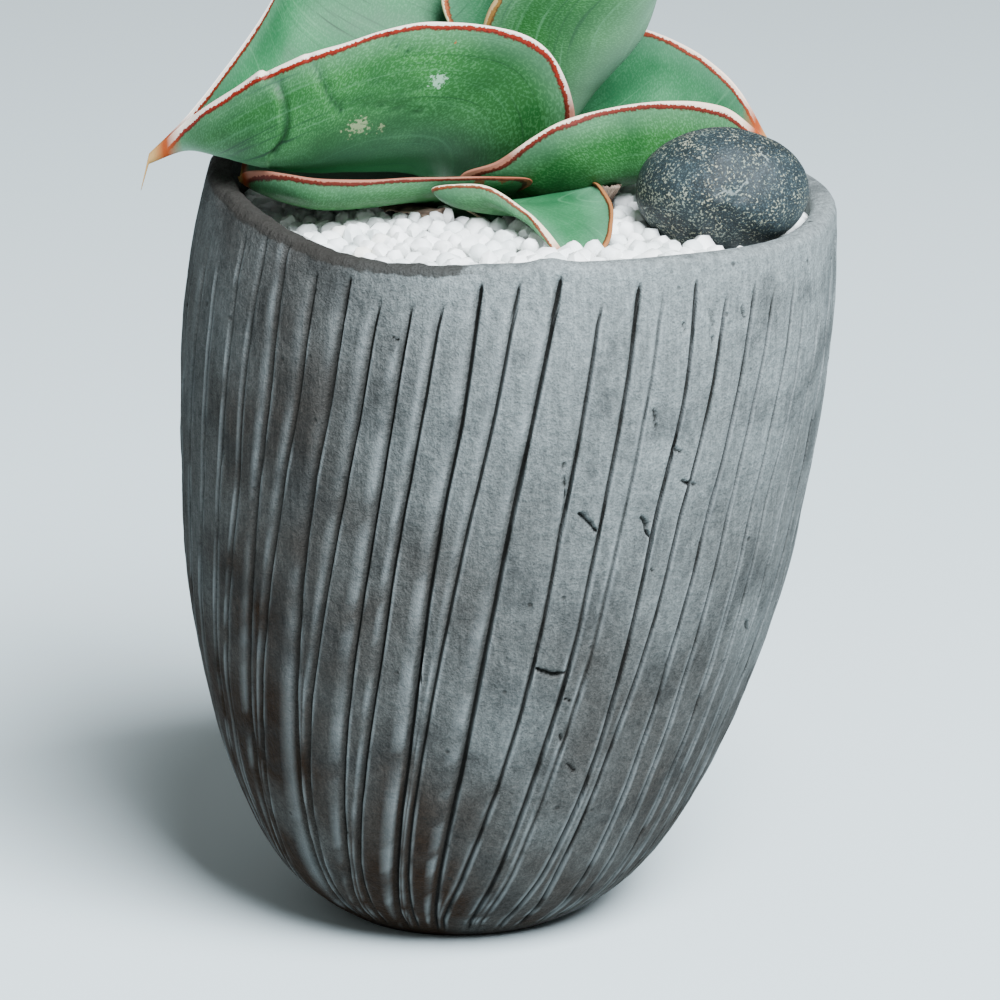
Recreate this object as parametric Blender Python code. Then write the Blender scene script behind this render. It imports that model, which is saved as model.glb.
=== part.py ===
"""A potted dwarf snake plant, in metres, +Z up.

The origin is the centre of the pot's flat base, on the surface it stands on. The front is -Y and
the right is +X. The pot is one leaning, egg-shaped stoneware vessel with an uneven rim. It holds
soil, a bed of white gravel and a pebble. The plant's boat-shaped leaves sheathe one another round
a short rhizome, the oldest outside and the youngest in the heart.
"""

import math

import bmesh
import bpy
from mathutils import Matrix, Vector

MM = 0.001

# Pot. Each outline pair is (height, outer radius), from the flat base to the highest rim.
POT_OUTLINE = [
    (0.0, 22.5),
    (3.0, 27.5),
    (10.0, 35.5),
    (22.0, 43.2),
    (40.0, 50.4),
    (65.0, 56.8),
    (90.0, 60.0),
    (115.0, 61.4),
    (131.0, 60.4),
    (146.0, 58.0),
]
POT_LEAN = 0.08  # the axis moves this far to the right for each unit of height
WALL = 4.6
FLOOR = 11.0
# The rim's height every 30 degrees, counter-clockwise from the right-hand side.
RIM_HEIGHTS = [138.5, 139.5, 141.0, 142.0, 143.0, 145.0, 146.0, 142.5, 138.0, 138.6, 138.4, 137.3]
POT_SIDES = 64
# The outer wall's rings, as shares of the rim's height.
WALL_SHARES = [0.0, 0.012, 0.035, 0.07, 0.115, 0.17, 0.24, 0.32, 0.41, 0.51, 0.61, 0.71, 0.8, 0.88, 0.945]
# The rolled rim: each ring's drop below the crest and its inset from the outer face.
RIM_ROLL = [(2.4, 0.25), (0.7, 0.9), (0.0, 0.5 * WALL), (0.7, WALL - 0.8), (2.6, WALL)]

# Filling.
CLEARANCE = 0.4  # the gap kept between bodies that touch in the real plant
SOIL_TOP = 126.5
GRAVEL_EDGE = 135.6
GRAVEL_MOUND = 1.9
WELL_DEPTH = 3.0  # how far below the gravel's edge its side face starts
CROWN = Vector((9.0, 1.0))  # the plant's axis, seen from above
CROWN_WELL = 21.5
BED_SHARES = [1.0, 0.86, 0.7, 0.52, 0.34, 0.16, 0.0]  # from the wall to the crown's well

# Rhizome: each pair is (height, radius).
RHIZOME = [(102.0, 1.5), (105.0, 4.6), (111.0, 6.4), (119.0, 6.8), (128.0, 6.0), (136.0, 4.6)]
RHIZOME_SIDES = 20
ROOTS = 6
ROOT_STEPS = 7
ROOT_WIDTH = 1.9
ROOT_TAPER = 0.13
ROOT_SIDES = 8

# Dry sheath: each pair is (distance from the crown's axis, height).
SHEATH_PROFILE = [(17.2, 132.5), (19.4, 136.2), (21.8, 138.1), (24.4, 138.5), (27.0, 138.6)]
SHEATH_FROM = -170.0
SHEATH_SWEEP = 39.0
SHEATH_STEPS = 10
SHEATH_THICK = 0.6

# Pebble.
PEBBLE_CENTRE = Vector((49.2, -21.2, 144.3))
PEBBLE_HALF = Vector((15.3, 12.0, 12.0))
PEBBLE_TILT = math.radians(-7.0)

# Leaf mesh.
LEAF_ACROSS = 12
LEAF_ALONG = 16
EDGE = 0.8  # thickness at a leaf's margin
TIP_SHARE = 0.35  # the size of the spine's end against its start


def clear_scene():
    for old in list(bpy.data.objects):
        bpy.data.objects.remove(old, do_unlink=True)


def finish_colour(name, colour, roughness):
    material = bpy.data.materials.new(name)
    material.use_nodes = True
    shader = material.node_tree.nodes["Principled BSDF"]
    shader.inputs["Base Color"].default_value = (*colour, 1.0)
    shader.inputs["Roughness"].default_value = roughness
    shader.inputs["Metallic"].default_value = 0.0
    return material


def smooth_value(table, x):
    """The value at x on a smooth curve through the (x, value) pairs of a rising table."""
    last = len(table) - 1
    slopes = []
    for i in range(last + 1):
        low = table[max(i - 1, 0)]
        high = table[min(i + 1, last)]
        slopes.append((high[1] - low[1]) / (high[0] - low[0]))
    x = min(max(x, table[0][0]), table[last][0])
    i = max(j for j in range(last) if table[j][0] <= x)
    x0, y0 = table[i]
    x1, y1 = table[i + 1]
    step = x1 - x0
    u = (x - x0) / step
    rise = u * u * (3.0 - 2.0 * u)
    return (
        y0 + (y1 - y0) * rise
        + slopes[i] * step * u * (1.0 - u) ** 2
        - slopes[i + 1] * step * u * u * (1.0 - u)
    )


def through(points, t):
    """The point at t, from 0 to 1, on a smooth curve that passes through all the points."""
    place = t * (len(points) - 1)
    i = min(int(place), len(points) - 2)
    u = place - i
    p1 = points[i]
    p2 = points[i + 1]
    p0 = points[i - 1] if i > 0 else p1 * 2.0 - p2
    p3 = points[i + 2] if i + 2 < len(points) else p2 * 2.0 - p1
    a = p1 * 2.0
    b = p2 - p0
    c = p0 * 2.0 - p1 * 5.0 + p2 * 4.0 - p3
    d = p1 * 3.0 - p0 - p2 * 3.0 + p3
    return (a + b * u + c * u * u + d * u ** 3) * 0.5


def rim_height(angle):
    turns = (angle / math.tau) % 1.0
    heights = RIM_HEIGHTS[-1:] + RIM_HEIGHTS + RIM_HEIGHTS[:2]
    points = [Vector((h, 0.0, 0.0)) for h in heights]
    return through(points, (turns * len(RIM_HEIGHTS) + 1.0) / (len(points) - 1)).x


def pot_point(angle, height, inset):
    """A point of the pot at a height, moved in from the outer face by inset."""
    radius = smooth_value(POT_OUTLINE, height) - inset
    return Vector((
        POT_LEAN * height + radius * math.cos(angle),
        radius * math.sin(angle),
        height,
    ))


def tube(mesh, rings, whole_turn=False):
    """Joins closed rings of points, in millimetres, side by side, and gives back their vertices."""
    loops = [[mesh.verts.new(point * MM) for point in ring] for ring in rings]
    count = len(loops[0])
    following = loops[1:] + loops[:1] if whole_turn else loops[1:]
    for below, above in zip(loops, following):
        for i in range(count):
            j = (i + 1) % count
            mesh.faces.new((below[i], below[j], above[j], above[i]))
    return loops


def loft(name, rings, material, low_centre, high_centre):
    """A solid from closed rings of points, with its two ends drawn in to a centre."""
    mesh = bmesh.new()
    loops = tube(mesh, rings)
    for loop, centre in ((loops[0], low_centre), (loops[-1], high_centre)):
        middle = mesh.verts.new(centre * MM)
        for i, vert in enumerate(loop):
            mesh.faces.new((vert, loop[(i + 1) % len(loop)], middle))
    return solid(name, mesh, material)


def solid(name, mesh, material):
    """Turns a bmesh into a smooth-shaded object whose faces point out."""
    bmesh.ops.recalc_face_normals(mesh, faces=mesh.faces)
    data = bpy.data.meshes.new(name)
    mesh.to_mesh(data)
    mesh.free()
    data.shade_smooth()
    data.set_sharp_from_angle(angle=math.radians(50))
    data.materials.append(material)
    made = bpy.data.objects.new(name, data)
    bpy.context.scene.collection.objects.link(made)
    return made


def helper(cutter):
    cutter.hide_render = True
    cutter.display_type = "WIRE"
    return cutter


def boolean(target, other, operation):
    """Cuts a helper from the target, or joins it on."""
    step = target.modifiers.new(operation.title() + " " + other.name, "BOOLEAN")
    step.operation = operation
    step.solver = "EXACT"
    step.object = helper(other)


def angles(count):
    return [math.tau * i / count for i in range(count)]


# Pot


def pot():
    stoneware = finish_colour("charcoal stoneware", (0.11, 0.11, 0.108), 0.85)
    rings = []
    for share in WALL_SHARES:
        rings.append([pot_point(a, share * rim_height(a), 0.0) for a in angles(POT_SIDES)])
    for drop, inset in RIM_ROLL:
        rings.append([pot_point(a, rim_height(a) - drop, inset) for a in angles(POT_SIDES)])
    for height in inner_heights():
        rings.append([pot_point(a, height, WALL) for a in angles(POT_SIDES)])
    floor_centre = Vector((POT_LEAN * FLOOR, 0.0, FLOOR))
    return loft("pot", rings, stoneware, Vector((0.0, 0.0, 0.0)), floor_centre)


def inner_heights():
    """The levels that the inner wall and its filling share, from the gravel's edge to the floor."""
    return [GRAVEL_EDGE - WELL_DEPTH, SOIL_TOP, 112.0, 92.0, 70.0, 50.0, 34.0, 22.0, 15.0, FLOOR]


# Soil and roots


def tube_rings(centres, radii, sides):
    """Rings of points square to a path of centres."""
    rings = []
    for i, centre in enumerate(centres):
        ahead = centres[min(i + 1, len(centres) - 1)] - centres[max(i - 1, 0)]
        across = ahead.cross(Vector((0.3, 1.0, 0.2))).normalized()
        up = across.cross(ahead).normalized()
        rings.append([
            centre + (across * math.cos(a) + up * math.sin(a)) * radii[i] for a in angles(sides)
        ])
    return rings


def rhizome(name, material, extra):
    """The rhizome with its roots, grown outward by extra."""
    axis = [Vector((CROWN.x, CROWN.y, height)) for height, radius in RHIZOME]
    radii = [radius + extra for height, radius in RHIZOME]
    axis[0].z -= extra
    made = loft(name, tube_rings(axis, radii, RHIZOME_SIDES), material, axis[0], axis[-1])
    for number in range(ROOTS):
        turn = math.tau * (number + 0.3) / ROOTS
        out = Vector((math.cos(turn), math.sin(turn), 0.0))
        start = Vector((CROWN.x, CROWN.y, 110.0 + 2.2 * (number % 3)))
        path = [start + out * 2.0, start + out * 9.0 - Vector((0.0, 0.0, 3.0))]
        path.append(start + out * (17.0 + number) - Vector((0.0, 0.0, 13.0)))
        path.append(start + out * (20.0 - number) - Vector((0.0, 0.0, 34.0 + 3.0 * number + extra)))
        centres = [through(path, i / ROOT_STEPS) for i in range(ROOT_STEPS + 1)]
        widths = [ROOT_WIDTH + extra - ROOT_TAPER * i for i in range(ROOT_STEPS + 1)]
        rings = tube_rings(centres, widths, ROOT_SIDES)
        root = loft(f"{name}_root_{number}", rings, material, centres[0], centres[-1])
        boolean(made, root, "UNION")
    return made


def potting_soil():
    peat = finish_colour("peat and grit", (0.035, 0.024, 0.017), 0.95)
    fleshy = finish_colour("pale root", (0.62, 0.42, 0.22), 0.7)
    rings = [
        [pot_point(a, height, WALL + CLEARANCE) for a in angles(POT_SIDES)]
        for height in reversed(inner_heights()[1:])
    ]
    lift = Vector((0.0, 0.0, CLEARANCE))
    rings[0] = [point + lift for point in rings[0]]
    low = Vector((POT_LEAN * FLOOR, 0.0, FLOOR + CLEARANCE))
    high = Vector((POT_LEAN * SOIL_TOP, 0.0, SOIL_TOP))
    soil = loft("potting_soil", rings, peat, low, high)
    boolean(soil, rhizome("root_space", fleshy, CLEARANCE), "DIFFERENCE")
    rhizome("rhizome_and_roots", fleshy, 0.0)


# Gravel


def gravel_height(angle, share):
    """The bed's height, from the crown's well at share 0 to the pot's wall at share 1."""
    mound = GRAVEL_MOUND * (1.0 - share ** 1.6)
    ripple = 0.35 * math.sin(5.0 * angle + 7.0 * share) + 0.25 * math.cos(9.0 * angle - 11.0 * share)
    return GRAVEL_EDGE + mound + ripple * math.sin(math.pi * min(share, 1.0))


def gravel_bed():
    marble = finish_colour("white marble gravel", (0.83, 0.86, 0.84), 0.6)
    bottom = SOIL_TOP + CLEARANCE
    well = [
        Vector((CROWN.x + CROWN_WELL * math.cos(a), CROWN.y + CROWN_WELL * math.sin(a), 0.0))
        for a in angles(POT_SIDES)
    ]
    up = Vector((0.0, 0.0, 1.0))
    rings = [[point + up * bottom for point in well]]
    for height in (bottom, GRAVEL_EDGE - WELL_DEPTH):
        rings.append([pot_point(a, height, WALL + CLEARANCE) for a in angles(POT_SIDES)])
    for share in BED_SHARES:
        ring = []
        for a, inner in zip(angles(POT_SIDES), well):
            outer = pot_point(a, GRAVEL_EDGE, WALL + CLEARANCE)
            flat = inner.lerp(Vector((outer.x, outer.y, 0.0)), share)
            ring.append(flat + up * gravel_height(a, share))
        rings.append(ring)
    mesh = bmesh.new()
    tube(mesh, rings, whole_turn=True)
    return solid("gravel_bed", mesh, marble)


# Pebble


def pebble(name, material, extra):
    """A flattened, slightly egg-shaped stone whose right-hand end is tilted up."""
    mesh = bmesh.new()
    bmesh.ops.create_uvsphere(mesh, u_segments=28, v_segments=16, radius=1.0)
    tilt = Matrix.Rotation(PEBBLE_TILT, 3, "Y")
    for vert in mesh.verts:
        x, y, z = vert.co
        swell = 1.0 + 0.05 * math.cos(2.0 * math.atan2(z, x) + 0.8) - 0.04 * x
        half = PEBBLE_HALF + Vector((extra, extra, extra))
        place = Vector((x * half.x, y * half.y, z * half.z)) * swell
        vert.co = (PEBBLE_CENTRE + tilt @ place) * MM
    return solid(name, mesh, material)


# Dry sheath


def dry_sheath():
    """The withered foot of a lost leaf: a papery flap curling out of the crown on to the gravel."""
    straw = finish_colour("dry leaf sheath", (0.30, 0.20, 0.13), 0.8)
    root = SHEATH_PROFILE[0][0]
    rings = []
    for step in range(SHEATH_STEPS + 1):
        share = step / SHEATH_STEPS
        a = math.radians(SHEATH_FROM + SHEATH_SWEEP * share)
        reach = 0.72 + 0.28 * math.sin(math.pi * share) ** 0.5
        out = Vector((math.cos(a), math.sin(a), 0.0))
        under = []
        for radius, height in SHEATH_PROFILE:
            foot = Vector((CROWN.x, CROWN.y, height))
            under.append(foot + out * (root + (radius - root) * reach))
        lift = Vector((0.0, 0.0, SHEATH_THICK)) - out * 0.4 * SHEATH_THICK
        over = [point + lift for point in under]
        rings.append(under + over[::-1])
    ends = [(ring[2] + ring[-3]) * 0.5 for ring in (rings[0], rings[-1])]
    return loft("dry_basal_sheath", rings, straw, ends[0], ends[1])


# Leaves


class Leaf:
    """One channelled leaf: its near margin, keel and far margin, each from the base to the tip."""

    def __init__(self, name, near, keel, far, spine, thick, fullness=0.9, foot=1.8):
        self.name = name
        self.near = [Vector(point) for point in near]
        self.keel = [Vector(point) for point in keel]
        self.far = [Vector(point) for point in far]
        self.spine = Vector(spine)
        self.thick = thick
        self.fullness = fullness
        self.foot = foot

    def ring(self, t):
        """The closed section at t: outer face from near margin to far, then back along the inner."""
        near = through(self.near, t)
        keel = through(self.keel, t)
        far = through(self.far, t)
        middle = (near + far) * 0.5
        half = near - middle
        depth = keel - middle
        swell = math.sin(math.pi * min(t / 0.9, 1.0)) ** 2.0
        floor_wall = self.foot + (self.thick - self.foot) * swell
        side_wall = 0.75 * self.foot + (0.6 * self.thick - 0.75 * self.foot) * swell
        floor_part = min(floor_wall / depth.length, 0.5)
        side_part = min(side_wall / half.length, 0.45)
        edge_part = min(EDGE / half.length, 0.3)
        outer = []
        inner = []
        for i in range(LEAF_ACROSS + 1):
            a = math.pi * i / LEAF_ACROSS
            across = math.cos(a)
            down = abs(math.sin(a)) ** self.fullness if 0 < i < LEAF_ACROSS else 0.0
            outer.append(middle + half * across + depth * down)
            # The walls thin from the keel's flanks out to the margins.
            wall = edge_part + max(side_part - edge_part, 0.0) * abs(math.sin(a)) ** 0.6
            wall = min(wall, 0.7 * abs(across))
            across -= math.copysign(wall, across)
            inner.append(middle + half * across + depth * down * (1.0 - floor_part))
        return outer + inner[::-1]

    def space(self, extra):
        """A filled cutter that leaves room for this leaf and for what lies in its channel."""
        rings = []
        for i in range(LEAF_ALONG + 1):
            t = i / LEAF_ALONG
            near = through(self.near, t)
            far = through(self.far, t)
            middle = (near + far) * 0.5
            half = near - middle
            depth = through(self.keel, t) - middle
            half += half.normalized() * extra
            depth += depth.normalized() * extra
            ring = []
            for j in range(LEAF_ACROSS + 1):
                a = math.pi * j / LEAF_ACROSS
                down = abs(math.sin(a)) ** self.fullness if 0 < j < LEAF_ACROSS else 0.0
                ring.append(middle + half * math.cos(a) + depth * down)
            above = depth.normalized() * -2.0
            rings.append(ring + [ring[-1] + above, ring[0] + above])
        ends = [sum(ring, Vector()) / len(ring) for ring in (rings[0], rings[-1])]
        ends[1] += self.spine.normalized() * (self.spine.length + extra)
        return loft(self.name + "_space", rings, bpy.data.materials[0], ends[0], ends[1])

    def build(self, material):
        rings = [self.ring(i / LEAF_ALONG) for i in range(LEAF_ALONG + 1)]
        tip = sum(rings[-1], Vector()) / len(rings[-1])
        rings.append([tip + self.spine + (point - tip) * TIP_SHARE for point in rings[-1]])
        mesh = bmesh.new()
        loops = tube(mesh, rings)
        count = len(loops[0])
        # Each end is closed across the wall, from the outer face to the inner.
        for loop in (loops[0], loops[-1]):
            for i in range(LEAF_ACROSS):
                mesh.faces.new((loop[i], loop[i + 1], loop[count - 2 - i], loop[count - 1 - i]))
        return solid(self.name, mesh, material)


LEAVES = [
    Leaf(
        "leaf_centre",
        near=[
            (12, -1.6, 141), (13, -2.4, 155), (14.5, -2.6, 170),
            (16.5, -2, 185), (18, 0.4, 199), (20, 2.6, 210),
        ],
        keel=[
            (6, 1, 141), (6.5, 1, 155), (8.2, 1.5, 170),
            (10.6, 2, 185), (14.6, 2.5, 199), (19.4, 3, 210),
        ],
        far=[
            (12, 3.6, 141), (13, 4.8, 155), (14.5, 5.6, 170),
            (16.5, 6, 185), (18, 5, 199), (20, 3.6, 210),
        ],
        spine=(0.8, 0.1, 2.2),
        thick=2.4,
        foot=1.4,
    ),
    Leaf(
        "leaf_upper_right",
        near=[
            (7.5, -6, 134), (7.5, -7, 147), (4.6, -8.4, 160.5), (6.2, -9.5, 174.8),
            (15, -10.5, 185.6), (25.5, -9.5, 197.5), (34.5, -5.5, 209.5), (42, 0.8, 222),
        ],
        keel=[
            (16.5, 1, 134), (19.5, 1, 147.5), (25.5, 1.2, 157.8), (33.4, 1.5, 167.8),
            (37, 1.5, 179), (39.6, 1.5, 191.5), (41.6, 1.5, 206), (42.8, 1.5, 221),
        ],
        far=[
            (7.5, 7.6, 134), (7.8, 8.3, 147), (3.6, 10, 160), (-2.8, 12.5, 173.4),
            (3.5, 15, 185.5), (15.5, 15.5, 198.5), (29.5, 10, 210.5), (42, 2.2, 222),
        ],
        spine=(0.6, 0.2, 3.0),
        thick=5.5,
        fullness=0.8,
    ),
    Leaf(
        "leaf_front_left",
        near=[
            (11, -8.2, 133), (12.4, -8.6, 143.5), (21.2, -11.8, 155), (14.8, -18, 170.6), (-4, -26, 175.8),
            (-22, -28, 171.8), (-34.5, -25.2, 166.4), (-44.4, -20.6, 160.2), (-50.6, -16.2, 155), (-56.8, -14.3, 149),
        ],
        keel=[
            (-1, 1, 133), (-3, 0.4, 138.6), (-6, -0.6, 142), (-10.5, -2.2, 144), (-18, -4, 145.2),
            (-27, -6, 147.2), (-35.6, -8.4, 149.2), (-42.4, -10.6, 150), (-49.8, -12.7, 150.1), (-56.8, -13.9, 148.2),
        ],
        far=[
            (11, 10.2, 133), (12.4, 10.6, 143.5), (22, 15.2, 155), (19, 20, 171), (5, 23, 183),
            (-13, 23, 187.5), (-28.6, 16, 181.4), (-38.4, -1, 169.2), (-48.8, -13.4, 157.4), (-56.8, -13.3, 149),
        ],
        spine=(-1.6, 0.0, -6.0),
        thick=8.0,
        fullness=0.85,
    ),
    Leaf(
        "leaf_right",
        near=[
            (6.5, -10.8, 133), (0.8, -15.2, 144.4), (8, -18.5, 149), (19, -19.5, 156),
            (34, -11.6, 158), (49, -2, 155.6), (60.5, 2.6, 149),
        ],
        keel=[
            (21.5, 1, 132), (23.2, 0.6, 137.2), (26.4, 0.2, 140.6), (32, 0, 142.2),
            (40, 1, 143.2), (50, 2, 145.2), (60.5, 3.1, 148),
        ],
        far=[
            (6.5, 12.8, 133), (2, 17, 146), (8, 21, 156), (20, 22.5, 164),
            (35, 19, 166.4), (50, 12, 160), (60.5, 3.7, 149),
        ],
        spine=(2.2, 0.3, -1.0),
        thick=5.5,
        fullness=1.0,
    ),
    Leaf(
        "leaf_lower_left",
        near=[
            (10.5, -12.6, 132), (13.8, -20.8, 143.6), (7, -22.8, 146.9), (-8, -27, 147.4),
            (-22, -28.5, 147.3), (-31.5, -25, 147.6), (-37.6, -18, 146.6), (-40.4, -9.4, 144),
        ],
        keel=[
            (-6.6, 1, 132), (-8.6, 0.5, 137), (-12.4, -1, 139.5), (-18, -3, 140),
            (-25, -5, 140.3), (-31.5, -6.5, 141), (-37, -8, 142), (-40.4, -8.8, 143.2),
        ],
        far=[
            (12, 15.4, 132), (18, 19, 142), (9, 22, 148), (-6, 23, 151),
            (-20, 20, 152), (-30.5, 13, 151), (-38.5, 3, 147.5), (-40.4, -8, 144),
        ],
        spine=(-0.3, -0.8, 0.6),
        thick=3.2,
        fullness=0.72,
    ),
    Leaf(
        "leaf_low_front",
        near=[
            (1, -18, 132), (-3.4, -24, 139.5), (-4.5, -27.5, 145.4), (4.3, -30.2, 146.9),
            (11.5, -34.5, 144.5), (16, -38.3, 141.6), (20.6, -41.3, 138.8),
        ],
        keel=[
            (12, -17.5, 131.5), (13, -20.5, 138.6), (14, -24.5, 140.4), (16.5, -29, 140),
            (18.8, -33.4, 139.2), (20.6, -38, 138.3), (22.2, -41.2, 137.9),
        ],
        far=[
            (23, -10.5, 131.5), (25.4, -13.8, 139.5), (26.2, -17, 143.8), (28.4, -22, 141.8),
            (28.5, -28.5, 139.9), (27, -35, 138.6), (23, -41.2, 138.4),
        ],
        spine=(0.8, -1.0, -0.2),
        thick=3.2,
    ),
]


def main():
    clear_scene()
    pot()
    potting_soil()
    bed = gravel_bed()
    dry_sheath()
    slate = finish_colour("speckled black pebble", (0.028, 0.036, 0.042), 0.5)
    pebble("black_pebble", slate, 0.0)
    boolean(bed, pebble("pebble_space", slate, CLEARANCE), "DIFFERENCE")
    for leaf in LEAVES:
        leaf.build(finish_colour(f"{leaf.name} skin", (0.08, 0.24, 0.10), 0.5))
    boolean(bed, LEAVES[-1].space(CLEARANCE), "DIFFERENCE")


main()
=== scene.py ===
"""A dwarf snake plant in a carved charcoal stoneware pot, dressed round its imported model.

Metres, +Z up. The front of the pot is -Y and its right-hand side is +X. Each section makes one
piece or group of pieces, from the pot to the gravel, with its own sizes, mesh and finish.
"""

import math

import bpy
import numpy as np
from mathutils import Matrix, Quaternion, Vector
from mathutils.bvhtree import BVHTree


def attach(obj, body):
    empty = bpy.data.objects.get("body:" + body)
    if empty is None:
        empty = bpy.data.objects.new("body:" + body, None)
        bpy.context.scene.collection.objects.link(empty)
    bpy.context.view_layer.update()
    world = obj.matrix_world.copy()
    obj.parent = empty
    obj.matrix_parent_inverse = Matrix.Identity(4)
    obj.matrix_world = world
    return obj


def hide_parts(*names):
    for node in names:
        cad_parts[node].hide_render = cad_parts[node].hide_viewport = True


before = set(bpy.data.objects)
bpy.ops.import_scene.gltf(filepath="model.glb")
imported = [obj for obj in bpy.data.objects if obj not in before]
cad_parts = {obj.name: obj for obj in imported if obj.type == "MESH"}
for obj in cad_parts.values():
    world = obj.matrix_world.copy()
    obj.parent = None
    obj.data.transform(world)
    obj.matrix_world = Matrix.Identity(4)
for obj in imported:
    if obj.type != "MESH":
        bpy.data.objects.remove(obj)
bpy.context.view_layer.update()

MM = 0.001

# Camera. It looks slightly down on the pot from the front, from far enough off that the rim's
# ellipse stays flat, and is aimed halfway up the wall.

AIM = Vector((0.0079, 0.0, 0.0796))
LOOK_DOWN = math.radians(15.3)
DISTANCE = 1.05
SEEN_WIDTH = 0.19  # what the frame spans at the aim point
SENSOR = 36.0

eye = bpy.data.cameras.new("camera")
eye.sensor_width = SENSOR
eye.lens = SENSOR * DISTANCE / SEEN_WIDTH
eye.clip_end = 20.0
camera = bpy.data.objects.new("camera", eye)
bpy.context.scene.collection.objects.link(camera)
camera.location = AIM + DISTANCE * Vector((0.0, -math.cos(LOOK_DOWN), math.sin(LOOK_DOWN)))
camera.rotation_euler = (math.pi / 2.0 - LOOK_DOWN, 0.0, 0.0)
bpy.context.scene.camera = camera

# Floor and light. A pale matt floor sweeps far out on every side. One large cool window light
# stands high at the right and front, so the left side of the pot falls into soft shade.

FLOOR_HALF = 6.0
WINDOW_PLACE = Vector((0.7, -1.16, 1.69))
WINDOW_SIDE = 1.15
WINDOW_POWER = 205.0
FILL_PLACE = Vector((-1.6, -0.6, 0.9))
FILL_SIDE = 1.6
FILL_POWER = 0.6
SKY_STRENGTH = 0.34


def linear(code, alpha=1.0):
    """The linear colour of an sRGB hex value."""
    parts = [int(code[i:i + 2], 16) / 255.0 for i in (1, 3, 5)]
    return (*[c / 12.92 if c <= 0.04045 else ((c + 0.055) / 1.055) ** 2.4 for c in parts], alpha)


def finish(name):
    """A new material with its node tree and its shader."""
    made = bpy.data.materials.new(name)
    made.use_nodes = True
    return made, made.node_tree, made.node_tree.nodes["Principled BSDF"]


def add(tree, kind, inputs=None, out=0, **settings):
    """Adds a node, sets it, links or fills its inputs, and gives back one of its outputs."""
    node = tree.nodes.new(kind)
    for key, value in settings.items():
        setattr(node, key, value)
    for key, value in (inputs or {}).items():
        if isinstance(value, bpy.types.NodeSocket):
            tree.links.new(value, node.inputs[key])
        else:
            node.inputs[key].default_value = value
    return node.outputs[out]


def deselect():
    for thing in bpy.context.selected_objects:
        thing.select_set(False)


deselect()
bpy.ops.mesh.primitive_plane_add(size=2.0 * FLOOR_HALF)
floor = bpy.context.object
floor.name = "floor"
pale_paint, tree, shader = finish("pale matt paint")
shader.inputs["Base Color"].default_value = linear("#cddbde")
shader.inputs["Roughness"].default_value = 0.85
shader.inputs["Specular IOR Level"].default_value = 0.2
floor.data.materials.append(pale_paint)


def soft_light(name, place, side, power, tint):
    """A square soft light at a place, turned toward what the camera looks at."""
    lamp = bpy.data.lights.new(name, "AREA")
    lamp.size = side
    lamp.energy = power
    lamp.color = linear(tint)[:3]
    holder = bpy.data.objects.new(name, lamp)
    bpy.context.scene.collection.objects.link(holder)
    holder.location = place
    holder.rotation_euler = (AIM - place).to_track_quat("-Z", "Y").to_euler()


soft_light("window", WINDOW_PLACE, WINDOW_SIDE, WINDOW_POWER, "#f2f8ff")
soft_light("fill", FILL_PLACE, FILL_SIDE, FILL_POWER, "#fff3e6")
sky = bpy.data.worlds.new("pale sky")
sky.use_nodes = True
sky.node_tree.nodes["Background"].inputs["Color"].default_value = linear("#e2e6e6")
sky.node_tree.nodes["Background"].inputs["Strength"].default_value = SKY_STRENGTH
bpy.context.scene.world = sky

# Pot. One egg-shaped vessel of dark grogged stoneware, pinched and scraped by hand and leaning a
# little to the right. Its wall was scored from rim to foot with a tool while soft, and it was fired
# unglazed in smoke, which leaves it dry, mottled charcoal grey.

POT_OUTLINE = np.array([
    (0.0, 22.5), (3.0, 27.5), (10.0, 35.5), (22.0, 43.2), (40.0, 50.4),
    (65.0, 56.8), (90.0, 60.0), (115.0, 61.4), (131.0, 60.4), (146.0, 58.0),
])
POT_LEAN = 0.08
WALL = 4.6
POT_FLOOR = 11.0  # height of its inside floor
RIM_HEIGHTS = [138.5, 139.5, 141.0, 142.0, 143.0, 145.0, 146.0, 142.5, 138.0, 138.6, 138.4, 137.3]
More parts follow.
